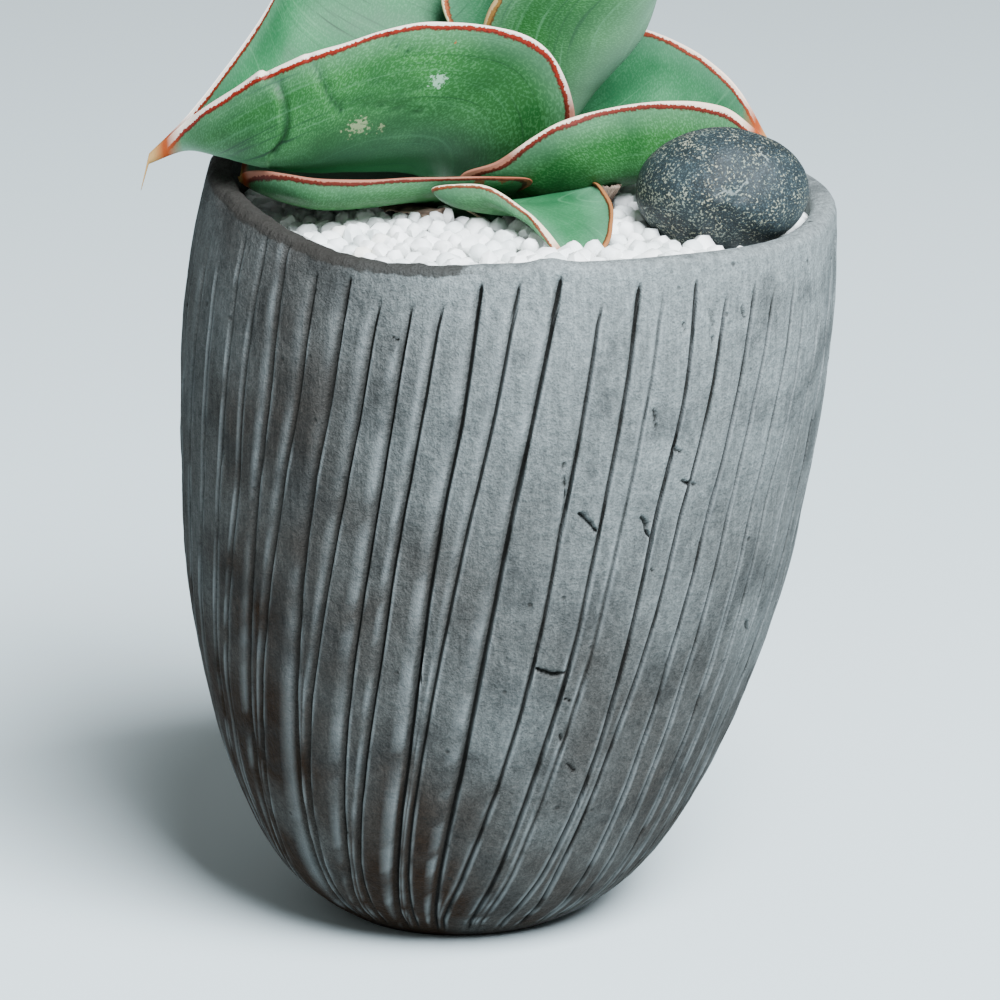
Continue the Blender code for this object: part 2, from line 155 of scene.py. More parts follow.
# The front grooves: height where each starts, depth and half width in millimetres, then its
# bearing in degrees at seven levels.
GROOVE_LEVELS = [6.0, 18.0, 42.0, 66.0, 90.0, 112.0, 136.0]
FRONT_GROOVES = [
    (137.0, 0.8, 0.53, -163.0, -161.0, -157.5, -151.9, -148.6, -146.6, -145.9),
    (138.0, 0.8, 0.56, -158.0, -156.2, -152.7, -147.4, -142.6, -141.3, -139.8),
    (138.0, 1.3, 0.73, -154.8, -150.4, -144.1, -140.1, -137.0, -134.5, -134.2),
    (135.0, 1.0, 0.66, -151.4, -147.8, -140.5, -135.9, -131.3, -127.7, -126.5),
    (136.0, 1.35, 0.86, -134.4, -133.4, -130.1, -127.2, -124.4, -121.1, -119.5),
    (132.0, 1.0, 0.79, -131.7, -130.9, -127.3, -122.5, -118.2, -115.0, -113.2),
    (131.0, 1.0, 0.66, -126.0, -122.4, -118.3, -114.5, -111.4, -109.0, -107.2),
    (132.0, 1.0, 0.66, -120.4, -118.7, -113.4, -109.3, -106.6, -103.9, -102.0),
    (136.0, 1.3, 0.73, -111.2, -108.4, -104.2, -101.8, -99.7, -97.1, -95.9),
    (136.0, 0.8, 0.59, -106.4, -105.2, -101.5, -98.1, -94.9, -91.8, -89.4),
    (136.6, 1.3, 0.73, -98.8, -96.7, -92.8, -90.1, -87.7, -85.2, -82.4),
    (132.0, 0.8, 0.53, -95.9, -90.4, -84.0, -80.6, -78.6, -76.7, -74.9),
    (135.0, 0.8, 0.53, -86.1, -81.6, -76.8, -73.6, -71.7, -69.8, -68.1),
    (133.0, 0.4, 0.46, -82.2, -77.7, -73.2, -69.9, -67.7, -65.5, -63.6),
    (135.0, 0.75, 0.49, -73.5, -68.7, -64.4, -62.6, -61.1, -58.3, -57.0),
    (132.0, 0.65, 0.46, -65.4, -64.6, -61.5, -58.3, -55.9, -52.6, -50.2),
    (133.0, 0.65, 0.46, -55.4, -54.7, -53.2, -52.0, -49.4, -46.2, -43.3),
    (131.0, 0.5, 0.43, -48.4, -48.0, -47.2, -46.4, -44.3, -41.4, -37.9),
    (131.0, 0.5, 0.43, -40.8, -40.6, -40.2, -39.6, -37.7, -34.9, -31.4),
    (125.0, 0.4, 0.40, -36.0, -35.8, -35.4, -34.8, -32.9, -30.1, -26.6),
    (123.0, 0.35, 0.40, -29.4, -29.2, -28.8, -28.2, -26.3, -23.5, -20.0),
]
# Across one groove and the wall beside it: distance from the groove in millimetres, and the most
# that it may be as a share of the way to the next groove.
GROOVE_COLUMNS = [(0.0, 0.0), (0.28, 0.08), (0.55, 0.16), (0.95, 0.26), (1.6, 0.38)]
# Short cracks and pulled grains: widest half width and depth in millimetres, then the bearing and
# height of each point along it.
CRACKS = [
    (0.46, 1.3, (-76.2, 93.2), (-75.0, 92.3), (-73.8, 90.9), (-72.3, 89.3)),
    (0.44, 1.2, (-64.4, 91.4), (-63.5, 90.4), (-63.0, 88.6), (-62.0, 86.9)),
    (0.48, 1.4, (-80.4, 63.1), (-78.7, 62.4), (-77.2, 61.7), (-74.6, 61.9)),
    (0.32, 0.8, (-74.3, 56.6), (-72.7, 56.0)),
    (0.34, 0.8, (-70.7, 42.6), (-68.9, 41.0)),
    (0.36, 0.9, (-57.2, 97.1), (-55.2, 96.2), (-53.4, 95.5)),
    (0.32, 0.7, (-59.8, 103.7), (-58.0, 102.5), (-57.5, 103.0)),
    (0.3, 0.7, (-59.6, 126.4), (-59.1, 124.5)),
    (0.3, 0.7, (-54.0, 127.4), (-53.5, 125.5)),
    (0.28, 0.6, (-53.6, 123.7), (-53.3, 121.9)),
    (0.3, 0.7, (-61.1, 81.0), (-59.9, 79.9)),
    (0.3, 0.7, (-47.3, 128.2), (-46.2, 125.6)),
    (0.32, 0.7, (-110.3, 125.3), (-109.0, 124.7)),
    (0.24, 0.4, (-79.8, 104.4), (-79.1, 100.0), (-78.7, 95.8)),
    (0.24, 0.4, (-102.0, 64.8), (-101.6, 59.7)),
    (0.24, 0.4, (-64.2, 111.4), (-63.2, 107.5)),
    (0.3, 0.6, (-73.6, 49.0), (-73.0, 47.5)),
    (0.32, 0.7, (-31.9, 64.7), (-29.2, 62.0)),
    (0.4, 1.1, (40.0, 88.0), (41.6, 87.4), (43.0, 86.0)),
    (0.42, 1.2, (128.0, 72.0), (129.6, 71.2), (131.5, 71.5)),
    (0.36, 0.9, (171.0, 104.0), (171.6, 102.4), (173.0, 101.0)),
]

chance = np.random.RandomState(23)
LATTICE = chance.uniform(-1.0, 1.0, (64, 64, 64))


def ripple(points, size, shift=0.0):
    """Smooth random values from -1 to 1 at points in millimetres, with bumps about size across."""
    place = np.asarray(points) / size + shift
    cell = np.floor(place).astype(int)
    part = place - cell
    part = part * part * (3.0 - 2.0 * part)
    total = np.zeros(len(place))
    for corner in np.ndindex(2, 2, 2):
        weight = np.prod(np.where(corner, part, 1.0 - part), axis=1)
        total += weight * LATTICE[tuple(((cell + corner) % 64).T)]
    return total


def smooth_value(table, x):
    """Values at x on a smooth curve through the (x, value) rows of a rising table."""
    xs, ys = table[:, 0], table[:, 1]
    ends = np.arange(len(xs))
    low, high = np.maximum(ends - 1, 0), np.minimum(ends + 1, len(xs) - 1)
    slopes = (ys[high] - ys[low]) / (xs[high] - xs[low])
    x = np.clip(x, xs[0], xs[-1])
    i = np.clip(np.searchsorted(xs, x, side="right") - 1, 0, len(xs) - 2)
    step = xs[i + 1] - xs[i]
    u = (x - xs[i]) / step
    return (
        ys[i] + (ys[i + 1] - ys[i]) * u * u * (3.0 - 2.0 * u)
        + slopes[i] * step * u * (1.0 - u) ** 2
        - slopes[i + 1] * step * u * u * (1.0 - u)
    )


def through(points, t):
    """Points at t, from 0 to 1, on a smooth curve that passes through all the points."""
    points = np.asarray(points, float)
    padded = np.vstack([2.0 * points[0] - points[1], points, 2.0 * points[-1] - points[-2]])
    place = np.asarray(t, float) * (len(points) - 1)
    i = np.clip(place.astype(int), 0, len(points) - 2)
    u = (place - i)[:, None]
    p0, p1, p2, p3 = padded[i], padded[i + 1], padded[i + 2], padded[i + 3]
    return 0.5 * (
        2.0 * p1 + (p2 - p0) * u
        + (2.0 * p0 - 5.0 * p1 + 4.0 * p2 - p3) * u ** 2
        + (3.0 * p1 - p0 - 3.0 * p2 + p3) * u ** 3
    )


def step_up(low, high, x):
    """0 below low, 1 above high, and a smooth rise between."""
    u = np.clip((x - low) / (high - low), 0.0, 1.0)
    return u * u * (3.0 - 2.0 * u)


def rim_height(bearing):
    """The rim's height at each bearing: RIM_HEIGHTS, every 30 degrees, with a smooth way between."""
    turns = (np.asarray(bearing) / 360.0) % 1.0
    heights = np.array(RIM_HEIGHTS[-1:] + RIM_HEIGHTS + RIM_HEIGHTS[:2])[:, None]
    return through(heights, (turns * len(RIM_HEIGHTS) + 1.0) / (len(heights) - 1))[:, 0]


def skin(name, places, marks=()):
    """A closed skin from a grid primitive: its two long sides meet, and its short sides draw in.

    places is rows by columns by 3, in millimetres, and marks is (name, values) pairs on the grid.
    """
    rows, columns = places.shape[0] - 1, places.shape[1] - 1
    deselect()
    bpy.ops.mesh.primitive_grid_add(x_subdivisions=columns, y_subdivisions=rows, size=1.0)
    piece = bpy.context.object
    piece.name = piece.data.name = name
    flat = np.empty(len(piece.data.vertices) * 3)
    piece.data.vertices.foreach_get("co", flat)
    flat = flat.reshape(-1, 3)
    column = np.rint((flat[:, 0] + 0.5) * columns).astype(int)
    row = np.rint((flat[:, 1] + 0.5) * rows).astype(int)
    piece.data.vertices.foreach_set("co", (places[row, column] * MM).ravel())
    for mark, values in marks:
        layer = piece.data.attributes.new(mark, "FLOAT", "POINT")
        layer.data.foreach_set("value", values[row, column].astype(np.float32))
    close_skin()
    return piece


def close_skin():
    """Welds the seam and the drawn-in ends of the active piece and turns its faces out."""
    bpy.ops.object.mode_set(mode="EDIT")
    bpy.ops.mesh.select_all(action="SELECT")
    bpy.ops.mesh.remove_doubles(threshold=1e-7)
    bpy.ops.mesh.normals_make_consistent(inside=False)
    bpy.ops.object.mode_set(mode="OBJECT")
    bpy.ops.object.shade_smooth()


def vertices_of(piece):
    """A piece's vertices in millimetres."""
    found = np.empty(len(piece.data.vertices) * 3)
    piece.data.vertices.foreach_get("co", found)
    return found.reshape(-1, 3) / MM


# The grooves go on round the back at the same pace, each drifting a little on its way down.
grooves = [list(row) for row in FRONT_GROOVES]
BACK_COUNT = 33
first, last = FRONT_GROOVES[-1], FRONT_GROOVES[0]
for number in range(1, BACK_COUNT + 1):
    share = number / (BACK_COUNT + 1)
    bearings = [a + (b + 360.0 - a) * share for a, b in zip(first[3:], last[3:])]
    drift = chance.uniform(-0.9, 0.9, len(GROOVE_LEVELS))
    cut = [chance.uniform(128.0, 136.0), chance.uniform(0.7, 1.25), chance.uniform(0.5, 0.75)]
    grooves.append(cut + [b + d for b, d in zip(bearings, drift)])
grooves = np.array(grooves)
groove_deep = grooves[:, 1]
groove_wide = grooves[:, 2]
groove_seed = chance.uniform(0.0, 40.0, len(grooves))


def groove_bearing(height):
    """Every groove's bearing at each height: heights by grooves."""
    found = [smooth_value(np.column_stack([GROOVE_LEVELS, row[3:]]), height) for row in grooves]
    return np.array(found).T


# Rows: the foot's middle, up the outer wall, over the rim, down inside, and the inside floor.
wall_shares = np.concatenate([
    np.linspace(0.0, 0.03, 4), np.linspace(0.042, 0.1, 6), np.linspace(0.112, 0.92, 58),
])
rim_turns = np.linspace(0.0, math.pi, 17)
below_rim = np.array([6.4, 5.2, 4.2, 3.4, 2.8])
inner_levels = [130.0, 118.0, 92.0, 60.0, 34.0, 19.0, POT_FLOOR + 3.0, POT_FLOOR]
RIM_ROUND = 2.2  # how far below the crest the rim's rounding starts

levels = [("foot", share) for share in (0.0, 0.45, 0.8, 0.94)]
levels += [("wall", share) for share in wall_shares]
levels += [("edge", drop) for drop in below_rim]
levels += [("rim", turn) for turn in rim_turns]
levels += [("inside", height) for height in inner_levels]
levels += [("floor", share) for share in (0.6, 0.0)]


def column_bearings(height):
    """The bearing of every column at one height, bunched beside each groove."""
    at = groove_bearing(np.array([height]))[0]
    order = np.argsort(at)
    at = at[order]
    radius = smooth_value(POT_OUTLINE, np.array([height]))[0]
    gap = np.diff(np.append(at, at[0] + 360.0))
    per_degree = radius * math.pi / 180.0
    found = []
    for i, bearing in enumerate(at):
        back, ahead = gap[i - 1], gap[i]
        for reach, most in GROOVE_COLUMNS[:0:-1]:
            found.append(bearing - min(reach / per_degree, most * back))
        for reach, most in GROOVE_COLUMNS:
            found.append(bearing + min(reach / per_degree, most * ahead))
        found.append(bearing + 0.5 * ahead)
    return np.array(found + [found[0] + 360.0])


rows = []
for kind, value in levels:
    if kind == "wall":
        about = value * 140.0
    elif kind == "foot":
        about = 0.0
    elif kind in ("edge", "rim"):
        about = 138.0
    else:
        about = min(value if kind == "inside" else POT_FLOOR, 134.0)
    bearing = column_bearings(about)
    top = rim_height(bearing)
    if kind == "foot":
        height = np.zeros_like(bearing)
        radius = smooth_value(POT_OUTLINE, height) * value
    elif kind == "wall":
        height = value * top
        radius = smooth_value(POT_OUTLINE, height)
    elif kind == "edge":
        height = top - value
        radius = smooth_value(POT_OUTLINE, height)
    elif kind == "rim":
        lift = abs(math.sin(value)) ** 0.75
        height = top - RIM_ROUND * (1.0 - lift)
        run = math.copysign(abs(math.cos(value)) ** 0.75, math.cos(value))
        radius = smooth_value(POT_OUTLINE, height) - 0.5 * WALL * (1.0 - run)
    elif kind == "inside":
        height = np.full_like(bearing, value)
        radius = smooth_value(POT_OUTLINE, height) - WALL
    else:
        height = np.full_like(bearing, POT_FLOOR)
        radius = (smooth_value(POT_OUTLINE, height) - WALL) * value
    turn = np.radians(bearing)
    rows.append(np.stack([
        POT_LEAN * height + radius * np.cos(turn), radius * np.sin(turn), height,
    ], axis=1))
pot = skin("pot", np.array(rows))


def bearing_and_reach(points):
    """Each point's bearing in degrees and its distance from the pot's leaning axis."""
    x = points[:, 0] - POT_LEAN * points[:, 2]
    return np.degrees(np.arctan2(points[:, 1], x)), np.hypot(x, points[:, 1])


def crack_distance(points, crack):
    """Each point's distance along the wall from a crack's line, and its share of the crack's run."""
    bearing, reach = bearing_and_reach(points)
    line = np.array(crack[2:])
    scale = np.array([math.pi / 180.0 * smooth_value(POT_OUTLINE, line[:1, 1])[0], 1.0])
    here = np.stack([(bearing - line[0, 0] + 180.0) % 360.0 - 180.0, points[:, 2] - line[0, 1]], axis=1)
    here *= scale
    line = (line - line[0]) * scale
    nearest = np.full(len(points), 1e3)
    share = np.zeros(len(points))
    for number, (start, stop) in enumerate(zip(line, line[1:])):
        way = stop - start
        part = np.clip((here - start) @ way / (way @ way), 0.0, 1.0)
        away = np.linalg.norm(here - start - part[:, None] * way, axis=1)
        share = np.where(away < nearest, (number + part) / (len(line) - 1), share)
        nearest = np.minimum(nearest, away)
    return nearest, share


def select_faces_near_cracks(piece):
    """Selects the outer faces round every crack."""
    middles = np.empty(len(piece.data.polygons) * 3)
    piece.data.polygons.foreach_get("center", middles)
    middles = middles.reshape(-1, 3) / MM
    bearing, reach = bearing_and_reach(middles)
    outer = reach > smooth_value(POT_OUTLINE, middles[:, 2]) - 0.7
    near = np.zeros(len(middles), bool)
    for crack in CRACKS:
        near |= crack_distance(middles, crack)[0] < CRACK_MARGIN
    near &= outer & (middles[:, 2] > 4.0)
    piece.data.vertices.foreach_set("select", np.zeros(len(piece.data.vertices), bool))
    piece.data.edges.foreach_set("select", np.zeros(len(piece.data.edges), bool))
    piece.data.polygons.foreach_set("select", near)


# The mesh is made finer round each crack before the wall is cut.
CRACK_MARGIN = 1.9
bpy.context.tool_settings.mesh_select_mode = (False, False, True)
select_faces_near_cracks(pot)
bpy.ops.object.mode_set(mode="EDIT")
bpy.ops.mesh.subdivide(number_cuts=4)
bpy.ops.object.mode_set(mode="OBJECT")

# Carving: slow hand wobble, grooves with pushed-up burrs, cracks, and the broken rim. The tool was
# held askew, so each groove is steep on its right-hand side and slack on its left.
TOOL_BITE = 1.3
STEEP_SIDE, SLACK_SIDE = 0.6, 1.6
BURR_HEIGHT = 0.16
LIP_HEIGHT = 0.9  # of the small lump that stands on the rim at the front
points = vertices_of(pot)
bearing, reach = bearing_and_reach(points)
outline = smooth_value(POT_OUTLINE, points[:, 2])
top = rim_height(bearing)
on_wall = step_up(outline - 3.2, outline - 1.2, reach) * step_up(0.6, 3.0, points[:, 2])
near_rim = np.clip(1.0 - (top - points[:, 2]) / 6.0, 0.0, 1.0)
crest = step_up(2.6, 0.8, top - points[:, 2])
offset = (bearing[:, None] - groove_bearing(points[:, 2]) + 180.0) % 360.0 - 180.0
nearest = np.argmin(np.abs(offset), axis=1)
pick = np.arange(len(points))
away = offset[pick, nearest] * math.pi / 180.0 * outline
side_half = groove_wide[nearest] * np.where(away > 0.0, STEEP_SIDE, SLACK_SIDE)
along_seed = np.stack([groove_seed[nearest] * 3.0, groove_seed[nearest] * 7.0, points[:, 2]], axis=1)
shake = ripple(along_seed, 9.0)
starts = grooves[nearest, 0] - 138.0 + np.minimum(top, 140.0)
fade = step_up(starts, starts - 3.5, points[:, 2]) * step_up(1.6, 6.0, points[:, 2])
deep = TOOL_BITE * groove_deep[nearest] * (1.0 + 0.3 * shake) * fade
shape = np.clip(1.0 - np.abs(away) / (side_half * (1.0 + 0.2 * shake)), 0.0, 1.0) ** 0.85
burr = np.exp(-((np.abs(away) - 1.3 * side_half) / 0.3) ** 2) * fade
burr *= np.clip(0.5 + ripple(points * (1.0, 1.0, 0.4), 2.2, 3.0), 0.0, 1.0)
push = -deep * shape + BURR_HEIGHT * burr
push += 0.55 * ripple(points, 38.0, 5.0) + 0.22 * ripple(points, 11.0, 9.0)
push += 0.1 * ripple(points * (1.0, 1.0, 0.35), 3.2, 1.0) + 0.05 * ripple(points, 1.5, 2.0)
split = np.zeros(len(points))
for crack in CRACKS:
    distance, share = crack_distance(points, crack)
    half = crack[0] * (0.35 + 0.65 * np.sin(math.pi * share) ** 0.7)
    distance = distance + 0.2 * ripple(points, 0.9, crack[2][0])
    cut = step_up(half * 1.2, half * 0.3, distance) * on_wall
    push -= crack[1] * cut
    split = np.maximum(split, cut)
# The rim broke up from the left round to the front when it was trimmed, and is smooth elsewhere.
from_left = (bearing + 360.0 - 170.0) % 360.0
broken = step_up(0.0, 14.0, from_left) * (1.0 - step_up(84.0, 100.0, from_left))
broken = 0.12 + 0.88 * broken
chip = np.clip(ripple(points * (1.0, 1.0, 0.5), 3.6, 4.0) + 0.05, 0.0, 1.0)
grit = ripple(points, 1.3, 6.0)
rim_drop = near_rim * broken * (0.5 * chip + 0.2 * grit)
outward = np.stack([np.cos(np.radians(bearing)), np.sin(np.radians(bearing))], axis=1)
rim_bite = crest * broken * (0.35 * chip + 0.12 * grit) * on_wall
points[:, :2] += outward * ((push * on_wall) - rim_bite)[:, None]
points[:, 2] -= rim_drop
lip = np.exp(-((bearing + 84.5) / 3.2) ** 2) * near_rim
points[:, 2] += LIP_HEIGHT * lip
pot.data.vertices.foreach_set("co", (points * MM).ravel())
# Marks for the finish: groove is painted shade on each groove's steep right-hand side, hollow is painted
# shade over the whole groove, burr carries a painted highlight and split painted shade in the cracks; rim
# marks the torn band.
hollow = np.clip(shape * fade * 1.4, 0.0, 1.0) * on_wall * np.clip(groove_deep[nearest], 0.0, 1.0)
shadowed = hollow * step_up(-0.42, -0.05, away)
for mark, values in (
    ("groove", shadowed),
    ("hollow", hollow),
    ("burr", np.clip(burr, 0.0, 1.0) * on_wall),
    ("split", split),
    ("rim", step_up(2.0, 1.2, top - points[:, 2]) * step_up(0.3, 0.9, broken)),
):
    layer = pot.data.attributes.new(mark, "FLOAT", "POINT")
    layer.data.foreach_set("value", values.astype(np.float32))
pot.data.update()

# Unglazed smoke-fired stoneware: dry to the eye and cool grey, with smoke clouds, grit that stands
# proud and pinholes where grit fell. Painted shade and painted warm bounce light make it darker and
# browner toward the foot and the left side; the grooves, cracks and pinholes carry painted shade,
# and the burrs a painted highlight.
stoneware, tree, shader = finish("smoke-fired stoneware")
GRAIN = 0.4 * MM
LUMP = 1.5 * MM
CLOUD = 13.0 * MM
SCRAPE = 0.8 * MM
PINHOLE = 5.0 * MM
where = add(tree, "ShaderNodeTexCoord", out=3)
leftness = add(tree, "ShaderNodeSeparateXYZ", {0: where}, out=0)
height = add(tree, "ShaderNodeSeparateXYZ", {0: where}, out=2)
clouds = add(
    tree, "ShaderNodeTexNoise", {"Vector": where, "Scale": 1.0 / CLOUD, "Detail": 4.0, "Roughness": 0.6},
)
patches = add(tree, "ShaderNodeTexNoise", {"Vector": where, "Scale": 0.4 / CLOUD, "Detail": 2.0})
grain = add(
    tree, "ShaderNodeTexNoise", {"Vector": where, "Scale": 1.0 / GRAIN, "Detail": 2.0, "Roughness": 0.6},
)
lumps = add(
    tree, "ShaderNodeTexNoise", {"Vector": where, "Scale": 1.0 / LUMP, "Detail": 3.0, "Roughness": 0.6},
)
stretched = add(tree, "ShaderNodeMapping", {"Vector": where, "Scale": (1.0, 1.0, 0.09)})
scrapes = add(tree, "ShaderNodeTexNoise", {"Vector": stretched, "Scale": 1.0 / SCRAPE, "Detail": 3.0})
holes = add(tree, "ShaderNodeTexVoronoi", {"Vector": where, "Scale": 1.0 / PINHOLE})
hole_size = add(tree, "ShaderNodeTexVoronoi", {"Vector": where, "Scale": 1.0 / PINHOLE}, out=1)
# Painted shade and painted warm bounce light: the clay darkens and browns toward the foot and toward the left
# side, away from the window.
up = add(tree, "ShaderNodeMapRange", {0: height, 1: 12.0 * MM, 2: 135.0 * MM, 3: 0.0, 4: 1.0})
across = add(tree, "ShaderNodeMapRange", {0: leftness, 1: -50.0 * MM, 2: 20.0 * MM, 3: 0.12, 4: 1.0})
shade_and_tone = add(tree, "ShaderNodeMath", {0: up, 1: across}, operation="MULTIPLY")
swing = add(tree, "ShaderNodeMapRange", {0: patches, 1: 0.3, 2: 0.7, 3: -0.2, 4: 0.2})
shade_and_tone = add(tree, "ShaderNodeMath", {0: shade_and_tone, 1: swing}, operation="ADD", use_clamp=True)
body = add(
    tree, "ShaderNodeMix", {0: shade_and_tone, 6: linear("#20150c"), 7: linear("#737a7a")}, out=2, data_type="RGBA",
)
smoke = add(tree, "ShaderNodeMapRange", {0: clouds, 1: 0.5, 2: 0.66, 3: 0.0, 4: 0.5})
body = add(tree, "ShaderNodeMix", {0: smoke, 6: body, 7: linear("#272828")}, out=2, data_type="RGBA")
speck = add(tree, "ShaderNodeMapRange", {0: grain, 1: 0.32, 2: 0.68, 3: 0.74, 4: 1.26})
streak = add(tree, "ShaderNodeMapRange", {0: scrapes, 1: 0.3, 2: 0.7, 3: 0.8, 4: 1.16})
tone = add(tree, "ShaderNodeMath", {0: speck, 1: streak}, operation="MULTIPLY")
knobs = add(tree, "ShaderNodeMapRange", {0: lumps, 1: 0.32, 2: 0.68, 3: 0.82, 4: 1.18})
tone = add(tree, "ShaderNodeMath", {0: tone, 1: knobs}, operation="MULTIPLY")
body = add(tree, "ShaderNodeMix", {0: 1.0, 6: body, 7: tone}, out=2, data_type="RGBA", blend_type="MULTIPLY")
# Painted shade: every groove is tinted darker all across.
hollow_shade = add(tree, "ShaderNodeAttribute", out=2, attribute_name="hollow")
hollow_shade = add(tree, "ShaderNodeMath", {0: hollow_shade, 1: 0.4}, operation="MULTIPLY")
body = add(tree, "ShaderNodeMix", {0: hollow_shade, 6: body, 7: linear("#332f2b")}, out=2, data_type="RGBA")
# Painted shade: each groove's steep right-hand side, turned away from the window, is painted near black.
groove = add(tree, "ShaderNodeAttribute", out=2, attribute_name="groove")
groove_shade = add(tree, "ShaderNodeMapRange", {0: groove, 1: 0.05, 2: 0.45, 3: 0.0, 4: 0.96})
body = add(tree, "ShaderNodeMix", {0: groove_shade, 6: body, 7: linear("#131210")}, out=2, data_type="RGBA")
# Painted highlight: the burrs beside the grooves are painted pale, as if lit.
raised = add(tree, "ShaderNodeAttribute", out=2, attribute_name="burr")
raised = add(tree, "ShaderNodeMath", {0: raised, 1: 0.4}, operation="MULTIPLY")
body = add(tree, "ShaderNodeMix", {0: raised, 6: body, 7: linear("#8d9495")}, out=2, data_type="RGBA")
torn = add(tree, "ShaderNodeAttribute", out=2, attribute_name="rim")
torn_edge = add(tree, "ShaderNodeMapRange", {0: lumps, 1: 0.35, 2: 0.65, 3: -0.3, 4: 0.3})
torn = add(tree, "ShaderNodeMath", {0: torn, 1: torn_edge}, operation="ADD")
torn = add(tree, "ShaderNodeMapRange", {0: torn, 1: 0.35, 2: 0.75, 3: 0.0, 4: 0.85})
body = add(tree, "ShaderNodeMix", {0: torn, 6: body, 7: linear("#2a2825")}, out=2, data_type="RGBA")
# Painted shade: the cracks are painted near black inside.
crack_shade = add(tree, "ShaderNodeAttribute", out=2, attribute_name="split")
crack_shade = add(tree, "ShaderNodeMath", {0: crack_shade, 1: 0.85}, operation="MULTIPLY")
body = add(tree, "ShaderNodeMix", {0: crack_shade, 6: body, 7: linear("#1c1b19")}, out=2, data_type="RGBA")
# Painted shade: the pinholes are painted dark.
hole_edge = add(tree, "ShaderNodeMapRange", {0: holes, 1: 0.05, 2: 0.12, 3: 1.0, 4: 0.0})
rare = add(tree, "ShaderNodeSeparateColor", {0: hole_size})
rare = add(tree, "ShaderNodeMapRange", {0: rare, 1: 0.58, 2: 0.64, 3: 0.0, 4: 0.7})
hole_mask = add(tree, "ShaderNodeMath", {0: hole_edge, 1: rare}, operation="MULTIPLY")
body = add(tree, "ShaderNodeMix", {0: hole_mask, 6: body, 7: linear("#201f1d")}, out=2, data_type="RGBA")
tree.links.new(body, shader.inputs["Base Color"])
rough = add(tree, "ShaderNodeMapRange", {0: clouds, 1: 0.3, 2: 0.7, 3: 0.72, 4: 0.92})
tree.links.new(rough, shader.inputs["Roughness"])
shader.inputs["Specular IOR Level"].default_value = 0.08
relief = add(tree, "ShaderNodeMath", {0: scrapes, 1: 0.6, 2: grain}, operation="MULTIPLY_ADD")
relief = add(tree, "ShaderNodeMath", {0: lumps, 1: 2.2, 2: relief}, operation="MULTIPLY_ADD")
relief = add(tree, "ShaderNodeMath", {0: hole_mask, 1: -1.6, 2: relief}, operation="MULTIPLY_ADD")
normal = add(tree, "ShaderNodeBump", {"Height": relief, "Strength": 0.75, "Distance": 0.36 * MM})
tree.links.new(normal, shader.inputs["Normal"])
pot.data.materials.append(stoneware)
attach(pot, "root")
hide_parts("pot")

# Soil and roots. Peat with grit fills the pot up to the gravel, and the short rhizome runs its
# fleshy roots down into it. Neither shows, so both keep their plain bodies with a real finish.

peat, tree, shader = finish("damp peat and grit")
where = add(tree, "ShaderNodeTexCoord", out=3)
crumbs = add(tree, "ShaderNodeTexNoise", {"Vector": where, "Scale": 1.0 / (1.6 * MM), "Detail": 4.0})
mixed = add(tree, "ShaderNodeMapRange", {0: crumbs, 1: 0.35, 2: 0.65})
brown = add(
    tree, "ShaderNodeMix", {0: mixed, 6: linear("#241912"), 7: linear("#4a3626")}, out=2, data_type="RGBA",
)
tree.links.new(brown, shader.inputs["Base Color"])
normal = add(tree, "ShaderNodeBump", {"Height": crumbs, "Strength": 0.8, "Distance": 0.8 * MM})
tree.links.new(normal, shader.inputs["Normal"])
shader.inputs["Roughness"].default_value = 0.95
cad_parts["potting_soil"].material_slots[0].material = peat

fleshy, tree, shader = finish("fleshy root skin")
where = add(tree, "ShaderNodeTexCoord", out=3)
rings = add(tree, "ShaderNodeTexNoise", {"Vector": where, "Scale": 1.0 / (2.5 * MM), "Detail": 3.0})
blotch = add(tree, "ShaderNodeMapRange", {0: rings, 1: 0.35, 2: 0.7})
tan = add(
    tree, "ShaderNodeMix", {0: blotch, 6: linear("#d9b184"), 7: linear("#9a6a3e")}, out=2, data_type="RGBA",
)
tree.links.new(tan, shader.inputs["Base Color"])
shader.inputs["Roughness"].default_value = 0.7
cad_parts["rhizome_and_roots"].material_slots[0].material = fleshy

# Leaves. Each is a thick, stiff, boat-shaped channel whose foot sheathes the next younger one. The
# skin is waxy green with a fine pale marbling, and both margins carry a dry horny edge, white at
# the crest with a red line beside it, that runs out into a hard tip.

EDGE = 0.8  # how thick the margins are, in millimetres
ROUND = 5  # faces over each half of a margin's bead
TIP_ROWS = 9  # rows of faces along the dry spine


class LeafShape:
    """One leaf's near margin, keel and far margin, each from the base to the tip."""

    def __init__(self, near, keel, far, spine, thick, fullness=0.9, foot=1.8, creases=(), faces=(120, 56)):
        self.near, self.keel, self.far = np.array(near), np.array(keel), np.array(far)
        self.spine = np.array(spine)
        self.thick, self.fullness, self.foot = thick, fullness, foot
        self.creases = creases
        self.along, self.across = faces


def lengths(rows):
    """Distance along each row of points, from its first."""
    steps = np.linalg.norm(np.diff(rows, axis=1), axis=2)
    return np.hstack([np.zeros((len(rows), 1)), np.cumsum(steps, axis=1)])


